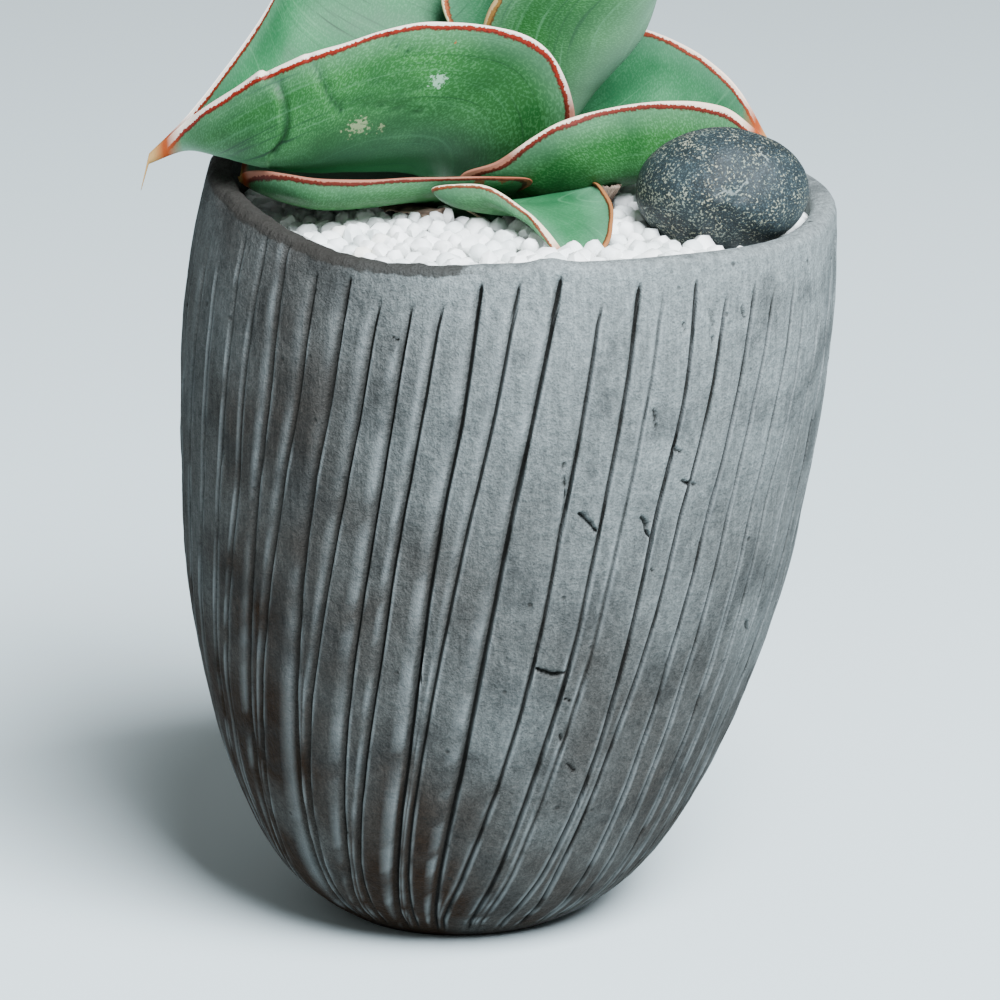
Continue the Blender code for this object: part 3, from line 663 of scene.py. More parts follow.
def leaf_sections(leaf, t):
    """The outer and inner faces at each t, from the near margin to the far one."""
    near, keel, far = through(leaf.near, t), through(leaf.keel, t), through(leaf.far, t)
    middle = 0.5 * (near + far)
    half = near - middle
    depth = keel - middle
    half_length = np.linalg.norm(half, axis=1)[:, None]
    depth_length = np.linalg.norm(depth, axis=1)[:, None]
    swell = (np.sin(math.pi * np.minimum(t / 0.9, 1.0)) ** 2.0)[:, None]
    floor_part = np.minimum((leaf.foot + (leaf.thick - leaf.foot) * swell) / depth_length, 0.5)
    side = 0.75 * leaf.foot + (0.6 * leaf.thick - 0.75 * leaf.foot) * swell
    side_part = np.minimum(side / half_length, 0.45)
    edge_part = np.minimum(EDGE / half_length, 0.3)
    a = np.linspace(0.0, math.pi, leaf.across + 1)[None, :]
    across = np.cos(a)
    down = np.abs(np.sin(a)) ** leaf.fullness
    down[:, [0, -1]] = 0.0
    wall = edge_part + np.maximum(side_part - edge_part, 0.0) * np.abs(np.sin(a)) ** 0.6
    wall = np.minimum(wall, 0.7 * np.abs(across))
    inner_across = across - np.copysign(wall, across)
    outer = middle[:, None] + half[:, None] * across[..., None] + depth[:, None] * down[..., None]
    inner = (
        middle[:, None] + half[:, None] * inner_across[..., None]
        + depth[:, None] * (down * (1.0 - floor_part))[..., None]
    )
    return outer, inner, half / half_length, depth / depth_length


def leaf_piece(name, leaf):
    """The leaf as one closed skin, with marks that its finish follows."""
    t = np.linspace(0.0, 1.0, leaf.along + 1)
    outer, inner, sideways, below = leaf_sections(leaf, t)
    middles = []
    for end, sign in ((0, 1.0), (-1, -1.0)):
        low, high = inner[:, end], outer[:, end]
        centre = 0.5 * (low + high)
        radius = 0.5 * np.linalg.norm(high - low, axis=1)[:, None]
        turns = np.linspace(0.0, math.pi, 2 * ROUND + 1)
        bead = np.array([
            centre - sideways * sign * radius * math.cos(turn) - below * radius * 1.15 * math.sin(turn)
            for turn in turns
        ])
        middles.append(bead.transpose(1, 0, 2))
    near_bead, far_bead = middles
    loop = np.concatenate([
        near_bead[:, ROUND:-1], outer, far_bead[:, ::-1][:, 1:-1], inner[:, ::-1], near_bead[:, 1:ROUND + 1],
    ], axis=1)
    outward = np.cross(np.gradient(loop, axis=1), np.gradient(loop, axis=0))
    outward /= np.maximum(np.linalg.norm(outward, axis=2, keepdims=True), 1e-9)
    keel_place = loop[:, ROUND + leaf.across // 2] - loop.mean(axis=1)
    if np.mean(np.sum(outward[:, ROUND + leaf.across // 2] * keel_place, axis=1)) < 0.0:
        outward = -outward
    crest = ROUND + leaf.across + ROUND
    measure = lengths(loop)
    outer_span = measure[:, crest:crest + 1]
    from_near = measure[:, :crest + 1]
    back = measure[:, -1:] - measure[:, crest + 1:]
    distance = np.hstack([from_near, back])
    span = np.hstack([
        np.repeat(outer_span, crest + 1, axis=1),
        np.repeat(measure[:, -1:] - outer_span, loop.shape[1] - crest - 1, axis=1),
    ])
    edge = np.minimum(distance, span - distance)
    far_side = step_up(0.45, 0.55, distance / np.maximum(span, 1e-6))
    inside = np.hstack([np.zeros((len(t), crest + 1)), np.ones((len(t), loop.shape[1] - crest - 1))])
    inside[:, -1] = 0.0
    # The belly mark pales the keel in the finish: its waxy bloom and painted bounce light from the gravel.
    belly = np.sin(math.pi * np.clip(distance / np.maximum(span, 1e-6), 0.0, 1.0)) ** 6 * (1.0 - inside)
    keel_line = through(leaf.keel, t)
    run = np.concatenate([[0.0], np.cumsum(np.linalg.norm(np.diff(keel_line, axis=0), axis=1))])
    along = np.repeat(run[:, None], loop.shape[1], axis=1)
    flat = loop.reshape(-1, 3)
    push = 0.22 * ripple(flat, 13.0, 3.0) + 0.07 * ripple(flat, 4.0, 7.0)
    push = push.reshape(edge.shape) * step_up(1.0, 5.0, edge)
    # A crease is a furrow, and beyond it the skin may stand proud by its lip.
    crease = np.zeros(edge.shape)
    for line, deep, wide, lip in leaf.creases:
        path = [
            loop[int(round(at * leaf.along)), ROUND + int(round(turn / math.pi * leaf.across))]
            for at, turn in line
        ]
        away = np.full(edge.shape, 1e3)
        line_t = np.zeros(edge.shape)
        for start, stop, low, high in zip(path, path[1:], line, line[1:]):
            way = stop - start
            part = np.clip(((loop - start) @ way) / (way @ way), 0.0, 1.0)
            gap = np.linalg.norm(loop - start - part[..., None] * way, axis=2)
            line_t = np.where(gap < away, low[0] + (high[0] - low[0]) * part, line_t)
            away = np.minimum(away, gap)
        beyond = step_up(-0.002, 0.004, t[:, None] - line_t)
        push -= deep * np.exp(-(away / wide) ** 2) * (1.0 - inside)
        push += lip * beyond * np.exp(-away / 3.5) * (1.0 - inside)
        # The crease mark darkens the finish along each furrow: painted shade in the deep creases, and the
        # leaf's long dark lines along the shallow ones.
        crease = np.maximum(crease, min(deep, 1.0) * np.exp(-(away / (0.75 * wide)) ** 2) * (1.0 - inside))
    loop = loop + outward * push[..., None]
    # The margin wavers slightly.
    waver = ripple(flat, 7.0, 11.0).reshape(edge.shape) * np.exp(-(edge / 1.5) ** 2)
    loop = loop - below[:, None] * (0.25 * waver)[..., None] * step_up(0.0, 0.1, 1.0 - t)[:, None, None]
    # The tip draws in along its dry spine, which droops as it goes.
    last_ring = loop[-1]
    centre = last_ring.mean(axis=0)
    extra = []
    for k in range(1, TIP_ROWS + 1):
        u = k / TIP_ROWS
        at = centre + leaf.spine * u
        extra.append(at + (last_ring - centre) * (1.0 - 0.75 * u ** 0.8) * (u < 1.0))
    loop = np.concatenate([loop[:1].mean(axis=1, keepdims=True).repeat(loop.shape[1], axis=1), loop, extra])

    def ended(values, tip_value=None):
        tail = np.repeat(values[-1:], TIP_ROWS, axis=0)
        return np.concatenate([values[:1], values, tail])

    length = np.concatenate([[0.0], t, np.linspace(1.0, 1.15, TIP_ROWS + 1)[1:]])
    marks = [
        ("edge", ended(edge)),
        ("far_side", ended(far_side)),
        ("inside", ended(inside)),
        ("across", ended(distance)),
        ("along", ended(along)),
        ("share", np.repeat(length[:, None], loop.shape[1], axis=1)),
        ("crease", ended(crease)),
        ("belly", ended(belly)),
    ]
    return skin(name, loop, marks)


def leaf_skin(
    name, outer, inner, near_edge, far_edge, streaks, brown_foot, bloom_and_bounce, width, scars=(), lip_scar=False,
):
    """Waxy leaf skin: satin under a dull bloom, marbled pale, veined along, with horny margins.

    outer and inner are (deep, light) greens, and each edge is its (crest, line) colours. Below the
    share brown_foot the margins are dry, brown and wider. bloom_and_bounce is how pale the keel is,
    from its waxy bloom and from painted bounce light off the gravel, and width scales the margins'
    bands. A scar is (place, radius, colour), in millimetres.
    """
    material, tree, shader = finish(name)
    where = add(tree, "ShaderNodeTexCoord", out=3)
    edge = add(tree, "ShaderNodeAttribute", out=2, attribute_name="edge")
    far_side = add(tree, "ShaderNodeAttribute", out=2, attribute_name="far_side")
    inside = add(tree, "ShaderNodeAttribute", out=2, attribute_name="inside")
    across = add(tree, "ShaderNodeAttribute", out=2, attribute_name="across")
    along = add(tree, "ShaderNodeAttribute", out=2, attribute_name="along")
    share = add(tree, "ShaderNodeAttribute", out=2, attribute_name="share")
    spread = add(tree, "ShaderNodeCombineXYZ", {0: across, 1: along, 2: inside})
    # Long veins, and short pale strokes that lie square to them.
    drawn = add(tree, "ShaderNodeMapping", {"Vector": spread, "Scale": (0.75, 0.035, 9.0)})
    veins = add(tree, "ShaderNodeTexNoise", {"Vector": drawn, "Scale": 1.0, "Detail": 3.0, "Roughness": 0.6})
    dabs = add(tree, "ShaderNodeMapping", {"Vector": spread, "Scale": (1.9, 4.4, 9.0)})
    dabs = add(tree, "ShaderNodeTexNoise", {"Vector": dabs, "Scale": 1.0, "Detail": 1.0, "Distortion": 0.5})
    dabs = add(tree, "ShaderNodeMapRange", {0: dabs, 1: 0.5, 2: 0.6, 3: 0.0, 4: 1.0})
    broad = add(tree, "ShaderNodeTexNoise", {"Vector": where, "Scale": 1.0 / (11.0 * MM), "Detail": 2.0})
    patch = add(tree, "ShaderNodeMapRange", {0: broad, 1: 0.3, 2: 0.7, 3: 0.12, 4: 0.42})
    dabs = add(tree, "ShaderNodeMath", {0: dabs, 1: patch}, operation="MULTIPLY")
    tone = add(tree, "ShaderNodeMapRange", {0: broad, 1: 0.32, 2: 0.68})
    outside = add(
        tree, "ShaderNodeMix", {0: tone, 6: linear(outer[0]), 7: linear(outer[1])}, out=2, data_type="RGBA",
    )
    outside = add(tree, "ShaderNodeMix", {0: dabs, 6: outside, 7: linear("#4f8a5a")}, out=2, data_type="RGBA")
    within = add(
        tree, "ShaderNodeMix", {0: tone, 6: linear(inner[0]), 7: linear(inner[1])}, out=2, data_type="RGBA",
    )
    faint = add(tree, "ShaderNodeMath", {0: dabs, 1: 0.45}, operation="MULTIPLY")
    within = add(tree, "ShaderNodeMix", {0: faint, 6: within, 7: linear("#5f9a75")}, out=2, data_type="RGBA")
    green = add(tree, "ShaderNodeMix", {0: inside, 6: outside, 7: within}, out=2, data_type="RGBA")
    dark_vein = add(tree, "ShaderNodeMapRange", {0: veins, 1: 0.6, 2: 0.7, 3: 0.0, 4: streaks})
    green = add(
        tree, "ShaderNodeMix", {0: dark_vein, 6: green, 7: linear("#0f3019")}, out=2, data_type="RGBA",
    )
    pale_vein = add(tree, "ShaderNodeMapRange", {0: veins, 1: 0.42, 2: 0.32, 3: 0.0, 4: 0.2})
    green = add(
        tree, "ShaderNodeMix", {0: pale_vein, 6: green, 7: linear("#5f9a70")}, out=2, data_type="RGBA",
    )
    # The keel is painted pale: partly the waxy bloom and partly painted bounce light from the gravel.
    belly = add(tree, "ShaderNodeAttribute", out=2, attribute_name="belly")
    belly = add(tree, "ShaderNodeMath", {0: belly, 1: bloom_and_bounce}, operation="MULTIPLY")
    green = add(tree, "ShaderNodeMix", {0: belly, 6: green, 7: linear("#a3c6b2")}, out=2, data_type="RGBA")
    # Painted shade in the furrows of the deep creases; the shallow creases are darkened as the leaf's long
    # dark lines.
    crease = add(tree, "ShaderNodeAttribute", out=2, attribute_name="crease")
    crease = add(tree, "ShaderNodeMath", {0: crease, 1: 0.85}, operation="MULTIPLY")
    green = add(tree, "ShaderNodeMix", {0: crease, 6: green, 7: linear("#0d2a16")}, out=2, data_type="RGBA")
    bloom = add(tree, "ShaderNodeMapRange", {0: edge, 1: 7.0, 2: 1.5, 3: 0.0, 4: 0.16})
    green = add(tree, "ShaderNodeMix", {0: bloom, 6: green, 7: linear("#7fa892")}, out=2, data_type="RGBA")
    # Old scars: corky patches with broken edges.
    broken = add(tree, "ShaderNodeTexNoise", {"Vector": where, "Scale": 1.0 / (0.8 * MM), "Detail": 2.0})
    for place, radius, colour in scars:
        gap = add(
            tree, "ShaderNodeVectorMath", {0: where, 1: tuple(v * MM for v in place)}, operation="SUBTRACT",
        )
        gap = add(tree, "ShaderNodeVectorMath", {0: gap}, operation="LENGTH", out=1)
        near_it = add(tree, "ShaderNodeMapRange", {0: gap, 1: radius * MM, 2: 0.0, 3: -0.35, 4: 0.24})
        mask = add(tree, "ShaderNodeMath", {0: near_it, 1: broken}, operation="ADD")
        mask = add(tree, "ShaderNodeMapRange", {0: mask, 1: 0.52, 2: 0.6, 3: 0.0, 4: 0.7})
        green = add(tree, "ShaderNodeMix", {0: mask, 6: green, 7: linear(colour)}, out=2, data_type="RGBA")
    if lip_scar:
        # A dashed corky line runs inside the near lip, further from it toward the base.
        aim = add(tree, "ShaderNodeMapRange", {0: share, 1: 0.74, 2: 0.53, 3: 0.9, 4: 3.4})
        gap = add(tree, "ShaderNodeMath", {0: edge, 1: aim}, operation="SUBTRACT")
        gap = add(tree, "ShaderNodeMath", {0: gap}, operation="ABSOLUTE")
        mask = add(tree, "ShaderNodeMapRange", {0: gap, 1: 0.35, 2: 0.15, 3: 0.0, 4: 1.0})
        dashes = add(tree, "ShaderNodeTexNoise", {"Vector": where, "Scale": 1.0 / (1.6 * MM), "Detail": 2.0})
        dashes = add(tree, "ShaderNodeMapRange", {0: dashes, 1: 0.45, 2: 0.52, 3: 0.15, 4: 0.9})
        mask = add(tree, "ShaderNodeMath", {0: mask, 1: dashes}, operation="MULTIPLY")
        mask = add(tree, "ShaderNodeMath", {0: mask, 1: inside}, operation="MULTIPLY")
        near_half = add(tree, "ShaderNodeMapRange", {0: far_side, 1: 0.0, 2: 0.2, 3: 1.0, 4: 0.0})
        mask = add(tree, "ShaderNodeMath", {0: mask, 1: near_half}, operation="MULTIPLY")
        start = add(tree, "ShaderNodeMapRange", {0: share, 1: 0.51, 2: 0.53})
        mask = add(tree, "ShaderNodeMath", {0: mask, 1: start}, operation="MULTIPLY")
        stop = add(tree, "ShaderNodeMapRange", {0: share, 1: 0.76, 2: 0.74})
        mask = add(tree, "ShaderNodeMath", {0: mask, 1: stop}, operation="MULTIPLY")
        green = add(tree, "ShaderNodeMix", {0: mask, 6: green, 7: linear("#b98a52")}, out=2, data_type="RGBA")
    # The horny edge: pale crest, then a red line that breaks into dark ticks where it meets green.
    jitter = add(tree, "ShaderNodeTexNoise", {"Vector": where, "Scale": 1.0 / (0.5 * MM), "Detail": 1.0})
    jitter = add(tree, "ShaderNodeMapRange", {0: jitter, 1: 0.3, 2: 0.7, 3: -0.2, 4: 0.2})
    slow = add(tree, "ShaderNodeTexNoise", {"Vector": where, "Scale": 1.0 / (6.0 * MM), "Detail": 1.0})
    slow = add(tree, "ShaderNodeMapRange", {0: slow, 1: 0.3, 2: 0.7, 3: -0.2, 4: 0.2})
    reach = add(tree, "ShaderNodeMath", {0: edge, 1: 1.0 / width, 2: jitter}, operation="MULTIPLY_ADD")
    reach = add(tree, "ShaderNodeMath", {0: reach, 1: slow}, operation="ADD")
    horny = add(tree, "ShaderNodeMapRange", {0: share, 1: 0.7, 2: 0.93, 3: 0.0, 4: 1.2})
    reach = add(tree, "ShaderNodeMath", {0: reach, 1: horny}, operation="SUBTRACT")
    corky = add(
        tree, "ShaderNodeMapRange", {0: share, 1: brown_foot + 0.07, 2: brown_foot - 0.03, 3: 0.0, 4: 0.9},
    )
    reach = add(tree, "ShaderNodeMath", {0: reach, 1: corky}, operation="SUBTRACT")
    line = add(
        tree, "ShaderNodeMix", {0: far_side, 6: linear(near_edge[1]), 7: linear(far_edge[1])},
        out=2, data_type="RGBA",
    )
    crest = add(
        tree, "ShaderNodeMix", {0: far_side, 6: linear(near_edge[0]), 7: linear(far_edge[0])},
        out=2, data_type="RGBA",
    )
    dry_foot = add(
        tree, "ShaderNodeMapRange", {0: share, 1: brown_foot + 0.05, 2: brown_foot, 3: 0.0, 4: 0.9},
    )
    line = add(tree, "ShaderNodeMix", {0: dry_foot, 6: line, 7: linear("#4f2318")}, out=2, data_type="RGBA")
    crest = add(tree, "ShaderNodeMix", {0: dry_foot, 6: crest, 7: linear("#8a4a35")}, out=2, data_type="RGBA")
    dark_line = add(tree, "ShaderNodeMix", {0: 0.7, 6: line, 7: linear("#280d07")}, out=2, data_type="RGBA")
    past = add(tree, "ShaderNodeMapRange", {0: reach, 1: 1.25, 2: 1.6})
    line = add(tree, "ShaderNodeMix", {0: past, 6: line, 7: dark_line}, out=2, data_type="RGBA")
    on_line = add(tree, "ShaderNodeMapRange", {0: reach, 1: 2.0, 2: 1.65, 3: 0.0, 4: 1.0})
    weakest = add(tree, "ShaderNodeMapRange", {0: far_side, 1: 0.0, 2: 1.0, 3: 0.3, 4: 0.95})
    weak_inside = add(tree, "ShaderNodeMapRange", {0: inside, 1: 0.0, 2: 1.0, 3: 1.0, 4: weakest})
    on_line = add(tree, "ShaderNodeMath", {0: on_line, 1: weak_inside}, operation="MULTIPLY")
    green = add(tree, "ShaderNodeMix", {0: on_line, 6: green, 7: line}, out=2, data_type="RGBA")
    on_crest = add(tree, "ShaderNodeMapRange", {0: reach, 1: 0.85, 2: 0.65, 3: 0.0, 4: 1.0})
    green = add(tree, "ShaderNodeMix", {0: on_crest, 6: green, 7: crest}, out=2, data_type="RGBA")
    # The last of the tip is dead and dry: orange-brown where it starts, straw beyond.
    dying = add(tree, "ShaderNodeMapRange", {0: share, 1: 0.89, 2: 0.94, 3: 0.0, 4: 1.0})
    green = add(tree, "ShaderNodeMix", {0: dying, 6: green, 7: linear("#93411a")}, out=2, data_type="RGBA")
    dead = add(tree, "ShaderNodeMapRange", {0: share, 1: 0.95, 2: 0.985, 3: 0.0, 4: 1.0})
    green = add(tree, "ShaderNodeMix", {0: dead, 6: green, 7: linear("#a8834f")}, out=2, data_type="RGBA")
    tree.links.new(green, shader.inputs["Base Color"])
    rough = add(tree, "ShaderNodeMapRange", {0: broad, 1: 0.3, 2: 0.7, 3: 0.42, 4: 0.56})
    dry = add(tree, "ShaderNodeMath", {0: on_crest, 1: dead}, operation="MAXIMUM")
    rough = add(tree, "ShaderNodeMix", {0: dry, 2: rough, 3: 0.7})
    tree.links.new(rough, shader.inputs["Roughness"])
    relief = add(tree, "ShaderNodeMath", {0: dabs, 1: 0.3, 2: veins}, operation="MULTIPLY_ADD")
    normal = add(tree, "ShaderNodeBump", {"Height": relief, "Strength": 0.3, "Distance": 0.2 * MM})
    tree.links.new(normal, shader.inputs["Normal"])
    shader.inputs["Specular IOR Level"].default_value = 0.16
    return material


LEAVES = {
    "leaf_centre": LeafShape(
        near=[
            (12, -1.6, 141), (13, -2.4, 155), (14.5, -2.6, 170),
            (16.5, -2, 185), (18, 0.4, 199), (20, 2.6, 210),
        ],
        keel=[
            (6, 1, 141), (6.5, 1, 155), (8.2, 1.5, 170),
            (10.6, 2, 185), (14.6, 2.5, 199), (19.4, 3, 210),
        ],
        far=[
            (12, 3.6, 141), (13, 4.8, 155), (14.5, 5.6, 170),
            (16.5, 6, 185), (18, 5, 199), (20, 3.6, 210),
        ],
        spine=(0.8, 0.1, 2.2),
        thick=2.4,
        foot=1.4,
    ),
    "leaf_upper_right": LeafShape(
        near=[
            (7.5, -6, 134), (7.5, -7, 147), (4.6, -8.4, 160.5), (6.2, -9.5, 174.8),
            (15, -10.5, 185.6), (25.5, -9.5, 197.5), (34.5, -5.5, 209.5), (42, 0.8, 222),
        ],
        keel=[
            (16.5, 1, 134), (19.5, 1, 147.5), (25.5, 1.2, 157.8), (33.4, 1.5, 167.8),
            (37, 1.5, 179), (39.6, 1.5, 191.5), (41.6, 1.5, 206), (42.8, 1.5, 221),
        ],
        far=[
            (7.5, 7.6, 134), (7.8, 8.3, 147), (3.6, 10, 160), (-2.8, 12.5, 173.4),
            (3.5, 15, 185.5), (15.5, 15.5, 198.5), (29.5, 10, 210.5), (42, 2.2, 222),
        ],
        spine=(0.6, 0.2, 3.0),
        thick=5.5,
        fullness=0.8,
    ),
    "leaf_front_left": LeafShape(
        near=[
            (11, -8.2, 133), (12.4, -8.6, 143.5), (21.2, -11.8, 155), (14.8, -18, 170.6),
            (-4, -26, 175.8), (-22, -28, 171.8), (-34.5, -25.2, 166.4), (-44.4, -20.6, 160.2),
            (-50.6, -16.2, 155), (-56.8, -14.8, 149.3),
        ],
        keel=[
            (-1, 1, 133), (-3, 0.4, 138.6), (-6, -0.6, 142), (-10.5, -2.2, 144),
            (-18, -4, 145.2), (-27, -6, 147.2), (-35.6, -8.4, 149.2), (-42.4, -10.6, 150),
            (-49.8, -12.7, 150.1), (-56.8, -13.9, 147.6),
        ],
        far=[
            (11, 10.2, 133), (12.4, 10.6, 143.5), (22, 15.2, 155), (19, 20, 171),
            (5, 23, 183), (-13, 23, 187.5), (-28.6, 16, 181.4), (-38.4, -1, 169.2),
            (-48.8, -13.4, 157.4), (-56.8, -13.0, 149.3),
        ],
        spine=(-1.6, 0.0, -6.0),
        thick=8.0,
        fullness=0.85,
        creases=(
            (
                ((0.668, 0.0), (0.642, 0.08), (0.62, 0.2), (0.608, 0.36), (0.61, 0.49), (0.63, 0.65)),
                0.9, 0.7, 1.2,
            ),
            (((0.59, 0.0), (0.565, 0.09), (0.55, 0.19), (0.537, 0.27), (0.517, 0.37)), 0.9, 0.6, 0.4),
            (((0.49, 0.0), (0.475, 0.05), (0.457, 0.11)), 0.7, 0.35, 0.0),
            (((0.552, 0.17), (0.48, 0.24), (0.417, 0.31)), 0.4, 0.45, 0.0),
            (((0.522, 0.31), (0.46, 0.4), (0.398, 0.47)), 0.45, 0.45, 0.0),
            (((0.5, 0.06), (0.44, 0.09), (0.378, 0.13)), 0.3, 0.4, 0.0),
        ),
        faces=(240, 96),
    ),
    "leaf_right": LeafShape(
        near=[
            (6.5, -10.8, 133), (0.8, -15.2, 144.4), (8, -18.5, 149), (19, -19.5, 156),
            (34, -11.6, 158), (49, -2, 155.4), (59, 2.6, 147.2),
        ],
        keel=[
            (21.5, 1, 132), (23.2, 0.6, 137.2), (26.4, 0.2, 140.6), (32, 0, 142.2),
            (40, 1, 143.2), (50, 2, 145.2), (59, 3.1, 146),
        ],
        far=[
            (6.5, 12.8, 133), (2, 17, 146), (8, 21, 156), (20, 22.5, 164),
            (35, 19, 166.4), (50, 12, 159.6), (59, 3.7, 147.2),
        ],
        spine=(1.4, 0.3, -1.8),
        thick=5.5,
        fullness=1.0,
    ),
    "leaf_lower_left": LeafShape(
        near=[
            (9, -9, 139), (13.4, -19.4, 145.4), (7, -22.8, 146.9), (-8, -27, 147.4),
            (-22, -28.5, 147.3), (-31.5, -25, 147.6), (-37.6, -18, 146.6), (-40.4, -9.4, 144),
        ],
        keel=[
            (-6.6, 1, 132), (-8.6, 0.5, 137), (-12.4, -1, 139.5), (-18, -3, 140),
            (-25, -5, 140.3), (-31.5, -6.5, 141), (-37, -8, 142), (-40.4, -8.8, 143.2),
        ],
        far=[
            (12, 15.4, 132), (18, 19, 142), (9, 22, 148), (-6, 23, 151),
            (-20, 20, 152), (-30.5, 13, 151), (-38.5, 3, 147.5), (-40.4, -8, 144),
        ],
        spine=(-0.3, -0.8, 0.6),
        thick=3.2,
        fullness=0.72,
    ),
    "leaf_low_front": LeafShape(
        near=[
            (9, -15, 134), (4, -22.5, 139.6), (-4.5, -27.5, 145.4), (4.3, -30.2, 146.7),
            (11.5, -34, 143.4), (15.4, -37.8, 140.4), (20.6, -40.6, 134),
        ],
        keel=[
            (14, -10.5, 135), (17.5, -14, 142.2), (14.5, -24, 140.2), (16.5, -29, 140),
            (18.8, -33.4, 139), (20.2, -37.6, 136.8), (21.8, -40.4, 133.2),
        ],
        far=[
            (23.5, -8.5, 136), (25.2, -12.5, 142.8), (26.4, -17, 144.2), (28.4, -22, 141.8),
            (28.5, -28.5, 139.9), (27.4, -35, 137), (23, -40.4, 134),
        ],
        spine=(0.4, -0.4, -1.0),
        thick=3.2,
        fullness=0.7,
    ),
}
DEEP_GREEN = ("#16451c", "#235826")
BLUE_GREEN = ("#1c5231", "#2b6741")
# Outer greens, inner greens, the near and far margins' crest and line, how dark the veins are, the
# share that is the brown foot, the bloom and painted bounce light on the keel, and how wide the
# margins' bands are.
LEAF_LOOKS = {
    "leaf_centre": (
        DEEP_GREEN, BLUE_GREEN, ("#c9b08f", "#a5472a"), ("#c9b08f", "#a5472a"), 0.3, 0.0, 0.3, 0.8,
    ),
    "leaf_upper_right": (
        DEEP_GREEN, BLUE_GREEN, ("#a98f62", "#7a5a2c"), ("#d9cda4", "#a0522e"), 0.6, 0.0, 0.35, 0.9,
    ),
    "leaf_front_left": (
        DEEP_GREEN, BLUE_GREEN, ("#e2d2c4", "#741a08"), ("#e6dad0", "#741a08"), 0.9, 0.24, 0.7, 0.95,
    ),
    "leaf_right": (
        DEEP_GREEN, BLUE_GREEN, ("#dcc5b0", "#5e1e12"), ("#dfc6b4", "#7e2c1c"), 0.4, 0.36, 0.3, 0.85,
    ),
    "leaf_lower_left": (
        DEEP_GREEN, BLUE_GREEN, ("#93604e", "#531d13"), ("#93604e", "#531d13"), 0.4, 0.3, 0.4, 0.8,
    ),
    "leaf_low_front": (
        DEEP_GREEN, BLUE_GREEN, ("#dccbb0", "#6b3820"), ("#8a5a34", "#5a3018"), 0.5, 0.08, 0.2, 0.55,
    ),
}
# Places, radii and colours of corky patches.
SCARS = {
    "leaf_front_left": (
        ((-18.0, -25.5, 156.8), 5.0, "#8f9a72"), ((-13.5, -24.2, 155.8), 3.0, "#8f9a72"),
        ((-3.1, -23.5, 165.1), 4.0, "#8fb59a"), ((-0.3, -24.3, 172.2), 0.9, "#9a3a20"),
    ),
    "leaf_lower_left": (((4.5, -23.6, 146.4), 3.4, "#6f2110"), ((9.0, -22.6, 145.8), 3.6, "#6f2110")),
}
leaf_bodies = {}
for leaf_name, leaf in LEAVES.items():
    made = leaf_piece(leaf_name + "_skin", leaf)
    look = LEAF_LOOKS[leaf_name]
    made.data.materials.append(leaf_skin(
        "waxy skin of " + leaf_name, *look, SCARS.get(leaf_name, ()), leaf_name == "leaf_front_left",
    ))
    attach(made, "root")
    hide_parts(leaf_name)
    leaf_bodies[leaf_name] = made

# Dry sheaths. The withered feet of lost leaves: papery brown flaps, split along their fibres, that
# curl out of the crown and lie on the gravel.

CROWN = np.array([9.0, 1.0])
PAPER = 0.6
# Each flap: its bearings about the crown, its (distance, height) profile, and how ragged it is.
FLAPS = (
    (
        "dry_sheath_left", (-172.0, -121.0),
        ((16.6, 132.5), (19.2, 136.4), (21.8, 138.8), (24.8, 139.8), (28.4, 139.4)), 1.2,
    ),
    (
        "dry_bract_right", (-40.0, -29.0),
        ((19.5, 133.0), (21.5, 137.2), (23.2, 140.0), (24.4, 141.8), (25.2, 143.2)), 0.6,
    ),
)
FLAP_STEPS = 72  # faces along its sweep
FLAP_ROWS = 22  # faces from the crown outward


def flap_piece(name, bearings, profile, tear):
    """A thin closed flap swept round the crown, ragged along its free edge, with its fibres marked."""
    share = np.linspace(0.0, 1.0, FLAP_STEPS + 1)
    turn = np.radians(bearings[0] + (bearings[1] - bearings[0]) * share)
    reach = 0.72 + 0.28 * np.sin(math.pi * share) ** 0.5
    ragged = ripple(np.stack([share * 40.0, share * 0.0 + 3.0, share * 0.0], axis=1), 1.7, 2.0)
    bends = [(radius, height, 0.0) for radius, height in profile]
    line = through(bends, np.linspace(0.0, 1.0, FLAP_ROWS + 1))
    root = profile[0][0]
    out = np.stack([np.cos(turn), np.sin(turn)], axis=1)
    span = (line[:, 0] - root)[None, :] * reach[:, None]
    tip = (np.linspace(0.0, 1.0, FLAP_ROWS + 1) ** 3)[None, :]
    span = root + span + tear * ragged[:, None] * tip
    fibres = ripple(np.stack([share * 90.0, share * 0.0, share * 0.0 + 5.0], axis=1), 2.0, 1.0)
    lift = line[:, 1][None, :] + 0.22 * fibres[:, None] * tip ** 0.3
    under = np.concatenate([
        CROWN + out[:, None] * span[..., None], lift[..., None],
    ], axis=2)
    over = under.copy()
    over[:, :, 2] += PAPER * (1.0 - 0.5 * tip)
    over[:, :, :2] -= 0.4 * PAPER * out[:, None]
    loop = np.concatenate([under, over[:, ::-1], under[:, :1]], axis=1)
    ends = [loop[k, :-1].mean(axis=0)[None, None].repeat(loop.shape[1], axis=1) for k in (0, -1)]
    places = np.concatenate([ends[0], loop, ends[1]])
    along = np.repeat(np.concatenate([[0.0], share, [1.0]])[:, None], loop.shape[1], axis=1)
    return skin(name, places, [("fibre", along)])


